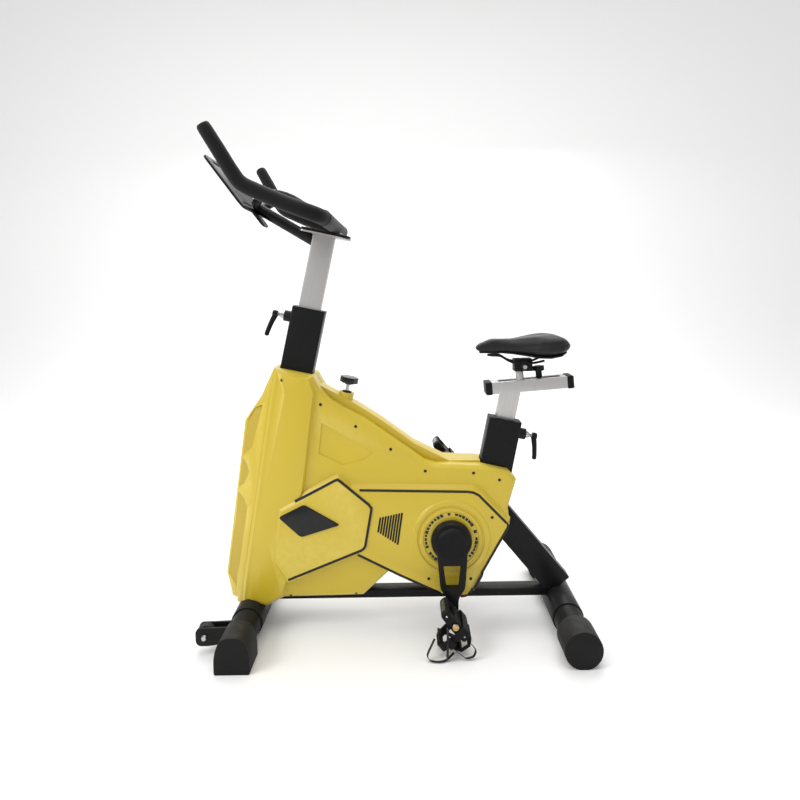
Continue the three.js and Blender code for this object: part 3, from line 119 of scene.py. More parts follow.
class Effects:
    """The effects that several finishes share, each a node group that is built once."""

    _made: dict[str, bpy.types.NodeTree] = {}

    @classmethod
    def _new(cls, name: str, inputs: Sequence[tuple[str, float]],
             outputs: Sequence[str]) -> bpy.types.NodeTree:
        """Makes an empty group with a Position input, float inputs and float outputs.

        Args:
            name: the group's name.
            inputs: names and values of its float inputs.
            outputs: names of its outputs.

        Returns:
            The group's tree, with its input and output nodes in it.
        """
        tree = bpy.data.node_groups.new(name, "ShaderNodeTree")
        tree.interface.new_socket("Position", in_out="INPUT", socket_type="NodeSocketVector")
        for label, value in inputs:
            socket = tree.interface.new_socket(label, in_out="INPUT", socket_type="NodeSocketFloat")
            socket.default_value = value
        for label in outputs:
            tree.interface.new_socket(label, in_out="OUTPUT", socket_type="NodeSocketFloat")
        tree.nodes.new("NodeGroupInput").name = "In"
        tree.nodes.new("NodeGroupOutput").name = "Out"
        cls._made[name] = tree
        return tree

    @classmethod
    def grain(cls) -> bpy.types.NodeTree:
        """Fine moulded grain: a height, and a slow variation over the surface."""
        if "grain" in cls._made:
            return cls._made["grain"]
        tree = cls._new("grain", [("Scale", 900.0), ("Drift Scale", 9.0)], ["Height", "Drift"])
        n, link = tree.nodes, tree.links.new
        pores = n.new("ShaderNodeTexVoronoi")
        pores.feature = "SMOOTH_F1"
        cloud = n.new("ShaderNodeTexNoise")
        cloud.inputs["Detail"].default_value = 3.0
        drift = n.new("ShaderNodeTexNoise")
        drift.inputs["Detail"].default_value = 4.0
        mix = n.new("ShaderNodeMath")
        mix.operation = "MULTIPLY_ADD"
        mix.inputs[1].default_value = 0.6
        for node, label in ((pores, "Scale"), (cloud, "Scale"), (drift, "Drift Scale")):
            link(n["In"].outputs["Position"], node.inputs["Vector"])
            link(n["In"].outputs[label], node.inputs["Scale"])
        link(pores.outputs["Distance"], mix.inputs[0])
        link(cloud.outputs["Fac"], mix.inputs[2])
        link(mix.outputs[0], n["Out"].inputs["Height"])
        link(drift.outputs["Fac"], n["Out"].inputs["Drift"])
        return tree

    @classmethod
    def brushing(cls) -> bpy.types.NodeTree:
        """Fine scratches along the Position's Z axis: a height and a streak value."""
        if "brushing" in cls._made:
            return cls._made["brushing"]
        tree = cls._new("brushing", [("Across", 1500.0), ("Lengthwise", 12.0)], ["Height", "Streak"])
        n, link = tree.nodes, tree.links.new
        scale = n.new("ShaderNodeCombineXYZ")
        stretch = n.new("ShaderNodeVectorMath")
        stretch.operation = "MULTIPLY"
        noise = n.new("ShaderNodeTexNoise")
        noise.inputs["Scale"].default_value = 1.0
        noise.inputs["Detail"].default_value = 3.0
        wide = n.new("ShaderNodeTexNoise")
        wide.inputs["Scale"].default_value = 0.08
        wide.inputs["Detail"].default_value = 2.0
        for axis in ("X", "Y"):
            link(n["In"].outputs["Across"], scale.inputs[axis])
        link(n["In"].outputs["Lengthwise"], scale.inputs["Z"])
        link(n["In"].outputs["Position"], stretch.inputs[0])
        link(scale.outputs[0], stretch.inputs[1])
        link(stretch.outputs[0], noise.inputs["Vector"])
        link(stretch.outputs[0], wide.inputs["Vector"])
        link(noise.outputs["Fac"], n["Out"].inputs["Height"])
        link(wide.outputs["Fac"], n["Out"].inputs["Streak"])
        return tree

    @classmethod
    def dust(cls) -> bpy.types.NodeTree:
        """A mask of light dust that lies on faces that look up, broken by noise."""
        if "dust" in cls._made:
            return cls._made["dust"]
        tree = cls._new("dust", [("Amount", 0.2), ("Scale", 40.0)], ["Mask"])
        n, link = tree.nodes, tree.links.new
        place = n.new("ShaderNodeNewGeometry")
        split = n.new("ShaderNodeSeparateXYZ")
        up = n.new("ShaderNodeMapRange")
        up.inputs["From Min"].default_value = 0.35
        up.inputs["From Max"].default_value = 1.0
        noise = n.new("ShaderNodeTexNoise")
        noise.inputs["Detail"].default_value = 5.0
        both = n.new("ShaderNodeMath")
        both.operation = "MULTIPLY"
        amount = n.new("ShaderNodeMath")
        amount.operation = "MULTIPLY"
        link(place.outputs["Normal"], split.inputs[0])
        link(split.outputs["Z"], up.inputs["Value"])
        link(n["In"].outputs["Position"], noise.inputs["Vector"])
        link(n["In"].outputs["Scale"], noise.inputs["Scale"])
        link(up.outputs[0], both.inputs[0])
        link(noise.outputs["Fac"], both.inputs[1])
        link(both.outputs[0], amount.inputs[0])
        link(n["In"].outputs["Amount"], amount.inputs[1])
        link(amount.outputs[0], n["Out"].inputs["Mask"])
        return tree

    @classmethod
    def wear(cls) -> bpy.types.NodeTree:
        """A mask of rubbed edges, from how sharply the surface turns, broken by noise."""
        if "wear" in cls._made:
            return cls._made["wear"]
        tree = cls._new("wear", [("Amount", 0.5), ("Scale", 60.0)], ["Mask"])
        n, link = tree.nodes, tree.links.new
        place = n.new("ShaderNodeNewGeometry")
        sharp = n.new("ShaderNodeMapRange")
        sharp.inputs["From Min"].default_value = 0.53
        sharp.inputs["From Max"].default_value = 0.62
        noise = n.new("ShaderNodeTexNoise")
        noise.inputs["Detail"].default_value = 4.0
        both = n.new("ShaderNodeMath")
        both.operation = "MULTIPLY"
        amount = n.new("ShaderNodeMath")
        amount.operation = "MULTIPLY"
        link(place.outputs["Pointiness"], sharp.inputs["Value"])
        link(n["In"].outputs["Position"], noise.inputs["Vector"])
        link(n["In"].outputs["Scale"], noise.inputs["Scale"])
        link(sharp.outputs[0], both.inputs[0])
        link(noise.outputs["Fac"], both.inputs[1])
        link(both.outputs[0], amount.inputs[0])
        link(n["In"].outputs["Amount"], amount.inputs[1])
        link(amount.outputs[0], n["Out"].inputs["Mask"])
        return tree

    @classmethod
    def weave(cls) -> bpy.types.NodeTree:
        """Woven webbing: two crossed sets of ribs as one height."""
        if "weave" in cls._made:
            return cls._made["weave"]
        tree = cls._new("weave", [("Scale", 420.0)], ["Height"])
        n, link = tree.nodes, tree.links.new
        ribs = []
        for axis in ("X", "Z"):
            wave = n.new("ShaderNodeTexWave")
            wave.bands_direction = axis
            wave.inputs["Distortion"].default_value = 0.6
            link(n["In"].outputs["Position"], wave.inputs["Vector"])
            link(n["In"].outputs["Scale"], wave.inputs["Scale"])
            ribs.append(wave)
        top = n.new("ShaderNodeMath")
        top.operation = "MAXIMUM"
        link(ribs[0].outputs["Fac"], top.inputs[0])
        link(ribs[1].outputs["Fac"], top.inputs[1])
        link(top.outputs[0], n["Out"].inputs["Height"])
        return tree


# ------------------------------------------------------------------ finishes


@dataclass(frozen=True)
class Finish:
    """One surface finish; its numbers are the shader's own sockets.

    The surface effect gives a height for the bump and a drift that varies colour and roughness.
    """

    name: str
    colour: Point
    roughness: float = 0.5
    metallic: float = 0.0
    coat: float = 0.0
    specular: float = 0.5
    sheen: float = 0.0
    second: Point | None = None
    effect: str = "grain"
    scale: float = 900.0
    stretch: float = 9.0
    bump: float = 0.1
    bump_depth: float = 0.0002
    spread: float = 0.12
    edge_colour: Point | None = None
    edge: float = 0.5
    dust: float = 0.12
    lean: float = 0.0
    _cache: dict[str, bpy.types.Material] = field(default_factory=dict, compare=False, hash=False, repr=False)

    def material(self) -> bpy.types.Material:
        """The finish's material, built the first time it is asked for."""
        if self.name not in self._cache:
            self._cache[self.name] = self._build()
        return self._cache[self.name]

    def _group(self, tree: bpy.types.NodeTree, group: bpy.types.NodeTree,
               **values: float) -> bpy.types.ShaderNode:
        """Places a shared effect in a material, with this finish's own values."""
        node = tree.nodes.new("ShaderNodeGroup")
        node.node_tree = group
        for label, value in values.items():
            node.inputs[label.replace("_", " ")].default_value = value
        return node

    def _build(self) -> bpy.types.Material:
        """Builds the material's nodes.

        Returns:
            The new material.
        """
        material = bpy.data.materials.new(self.name)
        material.use_nodes = True
        tree = material.node_tree
        n, link = tree.nodes, tree.links.new
        shader = n["Principled BSDF"]
        for label, value in (
            ("Roughness", self.roughness), ("Metallic", self.metallic), ("Coat Weight", self.coat),
            ("Specular IOR Level", self.specular), ("Sheen Weight", self.sheen),
        ):
            shader.inputs[label].default_value = value
        if self.coat:
            shader.inputs["Coat Roughness"].default_value = 0.18
        where = n.new("ShaderNodeTexCoord")
        turn = n.new("ShaderNodeMapping")
        turn.inputs["Rotation"].default_value = (0.0, math.radians(-self.lean), 0.0)
        link(where.outputs["Object"], turn.inputs["Vector"])
        position = turn.outputs["Vector"]

        if self.effect == "brushing":
            surface = self._group(tree, Effects.brushing(), Across=self.scale, Lengthwise=self.stretch)
            drift = surface.outputs["Streak"]
        else:
            surface = self._group(tree, Effects.grain(), Scale=self.scale, Drift_Scale=self.stretch)
            drift = surface.outputs["Drift"]
        link(position, surface.inputs["Position"])
        height = surface.outputs["Height"]
        if self.effect == "weave":
            woven = self._group(tree, Effects.weave(), Scale=self.scale)
            link(position, woven.inputs["Position"])
            height = woven.outputs["Height"]

        base = n.new("ShaderNodeMix")
        base.data_type = "RGBA"
        shade = self.second or tuple(c * 0.82 for c in self.colour)
        base.inputs["A"].default_value = (*self.colour, 1.0)
        base.inputs["B"].default_value = (*shade, 1.0)
        link(drift, base.inputs["Factor"])
        colour = base.outputs["Result"]
        if self.edge_colour is not None:
            wear = self._group(tree, Effects.wear(), Amount=self.edge, Scale=70.0)
            link(position, wear.inputs["Position"])
            colour = self._over(tree, colour, self.edge_colour, wear.outputs["Mask"])
        if self.dust > 0:
            dust = self._group(tree, Effects.dust(), Amount=self.dust, Scale=55.0)
            link(position, dust.inputs["Position"])
            colour = self._over(tree, colour, (0.42, 0.41, 0.39), dust.outputs["Mask"])
        link(colour, shader.inputs["Base Color"])

        rough = n.new("ShaderNodeMapRange")
        rough.inputs["From Min"].default_value = 0.25
        rough.inputs["From Max"].default_value = 0.75
        rough.inputs["To Min"].default_value = max(self.roughness - self.spread, 0.03)
        rough.inputs["To Max"].default_value = min(self.roughness + self.spread, 1.0)
        link(drift, rough.inputs["Value"])
        link(rough.outputs["Result"], shader.inputs["Roughness"])

        bump = n.new("ShaderNodeBump")
        bump.inputs["Strength"].default_value = self.bump
        bump.inputs["Distance"].default_value = self.bump_depth
        link(height, bump.inputs["Height"])
        link(bump.outputs["Normal"], shader.inputs["Normal"])
        return material

    @staticmethod
    def _over(
        tree: bpy.types.NodeTree, under: bpy.types.NodeSocket, colour: Point, mask: bpy.types.NodeSocket
    ) -> bpy.types.NodeSocket:
        """Lays a colour over another where a mask says so, and returns the mixed colour's socket."""
        mix = tree.nodes.new("ShaderNodeMix")
        mix.data_type = "RGBA"
        mix.inputs["B"].default_value = (*colour, 1.0)
        tree.links.new(under, mix.inputs["A"])
        tree.links.new(mask, mix.inputs["Factor"])
        return mix.outputs["Result"]


class Finishes:
    """Every finish on the bike, by the name that its pieces use."""

    YELLOW = Finish("yellow_abs", (0.60, 0.445, 0.026), 0.36, coat=0.1, second=(0.53, 0.39, 0.022),
                    scale=1400.0,
                    stretch=5.0, bump=0.06, spread=0.07, edge_colour=(0.80, 0.66, 0.15), edge=0.55, dust=0.02)
    # Darker yellow for the recess floor plates: painted shade, standing in for the shadow in deeper recesses.
    YELLOW_PAINTED_SHADE = Finish("yellow_abs_recess_painted_shade", (0.50, 0.36, 0.030), 0.5, second=(0.44, 0.315, 0.026),
                          scale=1400.0,
                          stretch=5.0, bump=0.1, spread=0.07, dust=0.02)
    BLACK_PAINT = Finish("black_powder_coat", (0.0062, 0.0062, 0.0068), 0.40, specular=0.16, scale=1100.0,
                         bump=0.16, spread=0.08, edge_colour=(0.06, 0.06, 0.06), edge=0.25, dust=0.05)
    BLACK_PLASTIC = Finish("black_moulding", (0.0058, 0.0058, 0.0062), 0.52, specular=0.14, scale=1500.0,
                           bump=0.14, spread=0.1, edge_colour=(0.05, 0.05, 0.05), edge=0.3, dust=0.06)
    GLOSS_BLACK = Finish("gloss_black", (0.003, 0.003, 0.0034), 0.22, specular=0.3, coat=0.1, scale=600.0,
                         bump=0.03, spread=0.05, dust=0.04)
    FOAM = Finish("grip_foam", (0.006, 0.006, 0.0066), 0.74, specular=0.16, scale=1900.0, bump=0.35,
                  bump_depth=0.0003, spread=0.08, sheen=0.12, dust=0.05)
    SILVER = Finish("satin_silver", (0.50, 0.487, 0.478), 0.40, metallic=0.7, effect="brushing", scale=1500.0,
                    stretch=14.0, bump=0.03, bump_depth=0.0001, spread=0.09, second=(0.44, 0.428, 0.42),
                    dust=0.04,
                    lean=12.0)
    STEEL = Finish("turned_steel", (0.52, 0.52, 0.53), 0.28, metallic=1.0, scale=700.0, bump=0.05,
                   spread=0.08,
                   second=(0.42, 0.42, 0.43), dust=0.05)
    BRASS = Finish("pale_brass", (0.62, 0.43, 0.17), 0.32, metallic=1.0, scale=500.0, bump=0.04, spread=0.08,
                   second=(0.5, 0.34, 0.13), dust=0.04)
    IRON = Finish("turned_iron", (0.16, 0.16, 0.17), 0.42, metallic=0.9, scale=350.0, bump=0.1, spread=0.1,
                  second=(0.11, 0.105, 0.10), dust=0.1)
    RUBBER = Finish("foot_rubber", (0.0058, 0.0058, 0.006), 0.62, specular=0.2, scale=800.0, bump=0.2,
                    spread=0.08, dust=0.12)
    LEATHER = Finish("saddle_leather", (0.0075, 0.0075, 0.0085), 0.40, specular=0.24, scale=620.0, bump=0.34,
                     bump_depth=0.00035, spread=0.08, second=(0.015, 0.015, 0.016), dust=0.05)
    WEBBING = Finish("strap_webbing", (0.006, 0.006, 0.0066), 0.78, specular=0.15, effect="weave",
                     scale=330.0,
                     bump=0.6, bump_depth=0.0005, sheen=0.1, dust=0.05)
    THREAD = Finish("stitching_thread", (0.03, 0.03, 0.032), 0.7, scale=2500.0, bump=0.3, dust=0.0)
    FELT = Finish("brake_felt", (0.16, 0.11, 0.07), 0.95, scale=1500.0, bump=0.6, bump_depth=0.0005,
                  sheen=0.3)
    REFLECTOR = Finish("grey_reflector", (0.045, 0.046, 0.05), 0.24, coat=0.4, effect="weave", scale=300.0,
                       bump=0.5,
                       bump_depth=0.0006, dust=0.02)
    SCREW = Finish("black_screw", (0.02, 0.02, 0.021), 0.3, metallic=0.7, scale=900.0, bump=0.06, dust=0.03)


CAD_FINISHES: dict[str, Finish] = {
    "yellow_plastic": Finishes.YELLOW, "black_paint": Finishes.BLACK_PAINT,
    "black_plastic": Finishes.BLACK_PLASTIC,
    "grip_foam": Finishes.FOAM, "silver_metal": Finishes.SILVER, "bright_steel": Finishes.STEEL,
    "grey_iron": Finishes.IRON, "foot_rubber": Finishes.RUBBER, "saddle_leather": Finishes.LEATHER,
    "strap_webbing": Finishes.WEBBING, "brake_felt": Finishes.FELT,
}


# ------------------------------------------------------------------ meshes


class Shapes:
    """Mesh code shared by the sub-assemblies. Sizes go in as millimetres."""

    @staticmethod
    def from_faces(name: str, points: Iterable[Sequence[float]],
                   faces: Sequence[Sequence[int]]) -> bpy.types.Object:
        """Makes a linked object from points in millimetres, with its faces turned outwards.

        Args:
            name: the object's name.
            points: its vertices.
            faces: vertex numbers of each face.

        Returns:
            The new object, at the origin.
        """
        mesh = bpy.data.meshes.new(name)
        mesh.from_pydata([tuple(c * MM for c in p) for p in points], [], [tuple(f) for f in faces])
        made = bpy.data.objects.new(name, mesh)
        bpy.context.scene.collection.objects.link(made)
        Shapes.outward(made)
        return made

    @staticmethod
    def outward(made: bpy.types.Object) -> None:
        """Merges doubled points and turns the faces outwards."""
        work = bmesh.new()
        work.from_mesh(made.data)
        bmesh.ops.remove_doubles(work, verts=work.verts, dist=0.00002)
        bmesh.ops.recalc_face_normals(work, faces=work.faces)
        work.to_mesh(made.data)
        work.free()

    @staticmethod
    def smooth(made: bpy.types.Object, degrees: float = 35.0) -> None:
        """Shades the faces smooth, apart from edges sharper than an angle."""
        work = bmesh.new()
        work.from_mesh(made.data)
        limit = math.radians(degrees)
        for face in work.faces:
            face.smooth = True
        for edge in work.edges:
            edge.smooth = not (len(edge.link_faces) == 2 and edge.calc_face_angle(0.0) > limit)
        work.to_mesh(made.data)
        work.free()

    @staticmethod
    def apply(made: bpy.types.Object) -> None:
        """Applies every modifier, so that the mesh is final."""
        depsgraph = bpy.context.evaluated_depsgraph_get()
        depsgraph.update()
        final = bpy.data.meshes.new_from_object(made.evaluated_get(depsgraph), depsgraph=depsgraph)
        made.modifiers.clear()
        made.data = final

    @staticmethod
    def bevel(made: bpy.types.Object, width: float, segments: int = 2, degrees: float = 30.0) -> None:
        """Rounds the edges that are sharper than an angle, and applies it."""
        modifier = made.modifiers.new("round", "BEVEL")
        modifier.width = width * MM
        modifier.segments = segments
        modifier.limit_method = "ANGLE"
        modifier.angle_limit = math.radians(degrees)
        modifier.harden_normals = False
        Shapes.apply(made)

    @staticmethod
    def sweep(
        name: str, path: Sequence[Point], radius: float | Sequence[float], sides: int = 16, flat: float = 1.0
    ) -> bpy.types.Object:
        """Makes a round or oval bar along a path, closed at its ends.

        Args:
            name: the object's name.
            path: its centre line.
            radius: one radius, or one for each point.
            sides: how many sides the section has.
            flat: the section's second radius as a share of the first.

        Returns:
            The new object.
        """
        line = np.array(path, float)
        radii = np.full(len(line), radius) if np.isscalar(radius) else np.array(radius, float)
        tangents = np.gradient(line, axis=0)
        tangents /= np.linalg.norm(tangents, axis=1)[:, None]
        start = np.array([0.0, 1.0, 0.0]) if abs(tangents[0][1]) < 0.9 else np.array([0.0, 0.0, 1.0])
        side = np.cross(tangents[0], start)
        points: list[np.ndarray] = []
        for centre, tangent, r in zip(line, tangents, radii):
            side = side - tangent * side.dot(tangent)
            side /= np.linalg.norm(side)
            up = np.cross(tangent, side)
            for k in range(sides):
                angle = 2 * math.pi * k / sides
                points.append(centre + r * (math.cos(angle) * side + flat * math.sin(angle) * up))
        faces = []
        for i in range(len(line) - 1):
            for k in range(sides):
                a, b = i * sides + k, i * sides + (k + 1) % sides
                faces.append((a, b, b + sides, a + sides))
        faces += [tuple(reversed(range(sides))), tuple(range((len(line) - 1) * sides, len(line) * sides))]
        made = Shapes.from_faces(name, points, faces)
        Shapes.smooth(made, 50.0)
        return made

    @staticmethod
    def ribbon(
        name: str, path: Sequence[Point], width: float, thickness: float, across: Sequence[Point]
    ) -> bpy.types.Object:
        """Makes a flat band along a path, with a given width direction at each point."""
        line = np.array(path, float)
        wide = np.array(across, float)
        tangents = np.gradient(line, axis=0)
        tangents /= np.linalg.norm(tangents, axis=1)[:, None]
        points: list[np.ndarray] = []
        for centre, tangent, w in zip(line, tangents, wide):
            w = w - tangent * w.dot(tangent)
            w /= np.linalg.norm(w)
            up = np.cross(tangent, w)
            for a, b in ((-0.5, -0.5), (0.5, -0.5), (0.5, 0.5), (-0.5, 0.5)):
                points.append(centre + a * width * w + b * thickness * up)
        faces = [tuple(reversed(range(4)))]
        for i in range(len(line) - 1):
            for k in range(4):
                a, b = i * 4 + k, i * 4 + (k + 1) % 4
                faces.append((a, b, b + 4, a + 4))
        faces.append(tuple(range((len(line) - 1) * 4, len(line) * 4)))
        made = Shapes.from_faces(name, points, faces)
        Shapes.smooth(made, 40.0)
        return made

    @staticmethod
    def curve(points: Sequence[Point], steps: int = 8) -> list[Point]:
        """A smooth line through points, with a number of steps between each two."""
        line = [Vector(p) for p in points]
        out: list[Point] = []
        for i in range(len(line) - 1):
            a = line[max(i - 1, 0)]
            b, c = line[i], line[i + 1]
            d = line[min(i + 2, len(line) - 1)]
            for k in range(steps):
                t = k / steps
                out.append(tuple(0.5 * (
                    2 * b + (c - a) * t + (2 * a - 5 * b + 4 * c - d) * t ** 2 +
                    (3 * b - a - 3 * c + d) * t ** 3
                )))
        out.append(tuple(line[-1]))
        return out

    @staticmethod
    def lathe(
        name: str, profile: Sequence[Flat], base: Point, axis: Point, sides: int = 32
    ) -> bpy.types.Object:
        """Turns a half section round an axis.

        Args:
            name: the object's name.
            profile: pairs of radius and distance along the axis, the first and last on the axis.
            base: the axis's start.
            axis: its direction.
            sides: how many sides the piece has.

        Returns:
            The new object.
        """
        up = Vector(axis).normalized()
        turn = Vector((0, 0, 1)).rotation_difference(up).to_matrix()
        points, faces = [], []
        for r, h in profile:
            for k in range(sides):
                angle = 2 * math.pi * k / sides
                points.append(Vector(base) + turn @ Vector((r * math.cos(angle), r * math.sin(angle), h)))
        for i in range(len(profile) - 1):
            for k in range(sides):
                a, b = i * sides + k, i * sides + (k + 1) % sides
                faces.append((a, b, b + sides, a + sides))
        faces += [tuple(reversed(range(sides))),
                  tuple(range((len(profile) - 1) * sides, len(profile) * sides))]
        made = Shapes.from_faces(name, points, faces)
        Shapes.smooth(made, 32.0)
        return made

    @staticmethod
    def joined(name: str, pieces: Sequence[bpy.types.Object]) -> bpy.types.Object:
        """Joins several objects of one finish into one."""
        work = bmesh.new()
        for piece in pieces:
            work.from_mesh(piece.data)
        mesh = bpy.data.meshes.new(name)
        work.to_mesh(mesh)
        work.free()
        for piece in pieces:
            bpy.data.objects.remove(piece)
        made = bpy.data.objects.new(name, mesh)
        bpy.context.scene.collection.objects.link(made)
        return made

    @staticmethod
    def copy_of(frame: dict[str, Any], node: str, name: str) -> bpy.types.Object:
        """A copy of a CAD node with its doubled points merged and its flat faces made whole."""
        made = bpy.data.objects.new(name, frame["nodes"][node].data.copy())
        bpy.context.scene.collection.objects.link(made)
        work = bmesh.new()
        work.from_mesh(made.data)
        bmesh.ops.remove_doubles(work, verts=work.verts, dist=0.00002)
        bmesh.ops.dissolve_limit(
            work, angle_limit=math.radians(1.5), verts=work.verts, edges=work.edges,
            use_dissolve_boundaries=False
        )
        work.to_mesh(made.data)
        work.free()
        return made


def mount(
    piece: bpy.types.Object, body: Motion, finish: Finish | None = None,
    replaces: Sequence[str] = ()
) -> bpy.types.Object:
    """Gives a piece its finish and its body, hides the CAD nodes that it stands for, and reports it.

    Args:
        piece: the finished piece.
        body: the body that it rides on.
        finish: its finish, or nothing where its materials are already set.
        replaces: the CAD nodes that it stands for.

    Returns:
        The piece.
    """
    if finish is not None:
        piece.data.materials.clear()
        piece.data.materials.append(finish.material())
    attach(piece, body.value)
    if replaces:
        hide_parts(*replaces)
    LOG.info("%s rides on %s, %d faces", piece.name, body.value, len(piece.data.polygons))
    return piece


# ------------------------------------------------------------------ geometry nodes


@dataclass
class Tree:
    """A geometry node tree under construction, with named inputs that a piece sets before it is evaluated."""

    name: str
    finish: Finish
    group: bpy.types.NodeTree = field(init=False)
    sockets: dict[str, str] = field(init=False, default_factory=dict)

    def __post_init__(self) -> None:
        """Makes the empty tree with its geometry sockets."""
        self.group = bpy.data.node_groups.new(self.name, "GeometryNodeTree")
        self.group.interface.new_socket("Geometry", in_out="OUTPUT", socket_type="NodeSocketGeometry")
        self.group.interface.new_socket("Geometry", in_out="INPUT", socket_type="NodeSocketGeometry")
        self.start = self.group.nodes.new("NodeGroupInput")
        self.end = self.group.nodes.new("NodeGroupOutput")

    def number(self, label: str, kind: str = "NodeSocketFloat") -> bpy.types.NodeSocket:
        """Adds a named input and returns the socket that gives it inside the tree."""
        self.sockets[label] = self.group.interface.new_socket(label, in_out="INPUT",
                                                              socket_type=kind).identifier
        return self.start.outputs[label]

    def node(self, kind: str, links: dict[str, Any] | None = None, **settings: Any) -> bpy.types.Node:
        """Adds a node.

        Args:
            kind: the node's type name.
            links: what goes to each of its inputs: a socket, or a plain value.
            settings: properties of the node.

        Returns:
            The new node.
        """
        made = self.group.nodes.new(kind)
        for label, value in settings.items():
            setattr(made, label, value)
        for label, value in (links or {}).items():
            target = made.inputs[int(label)] if label.isdigit() else made.inputs[label]
            if isinstance(value, bpy.types.NodeSocket):
                self.group.links.new(value, target)
            else:
                target.default_value = value
        return made

    def close(self, geometry: bpy.types.NodeSocket) -> None:
        """Ends the tree with real faces and its material."""
        real = self.node("GeometryNodeRealizeInstances", {"Geometry": geometry})
        dressed = self.node("GeometryNodeSetMaterial", {"Geometry": real.outputs[0]})
        dressed.inputs["Material"].default_value = self.finish.material()
        self.group.links.new(dressed.outputs[0], self.end.inputs[0])

    def run(self, name: str, carrier: bpy.types.Mesh, **values: Any) -> bpy.types.Object:
        """Evaluates the tree on a mesh and returns the plain result.

        Args:
            name: the new piece's name.
            carrier: the mesh that goes in as the tree's geometry.
            values: the named inputs, with underscores for spaces.

        Returns:
            A new object that holds the result's mesh and no modifier.
        """
        made = bpy.data.objects.new(name, carrier)
        bpy.context.scene.collection.objects.link(made)
        modifier = made.modifiers.new(self.name, "NODES")
        modifier.node_group = self.group
        for label, value in values.items():
            modifier[self.sockets[label.replace("_", " ")]] = value
        Shapes.apply(made)
        return made


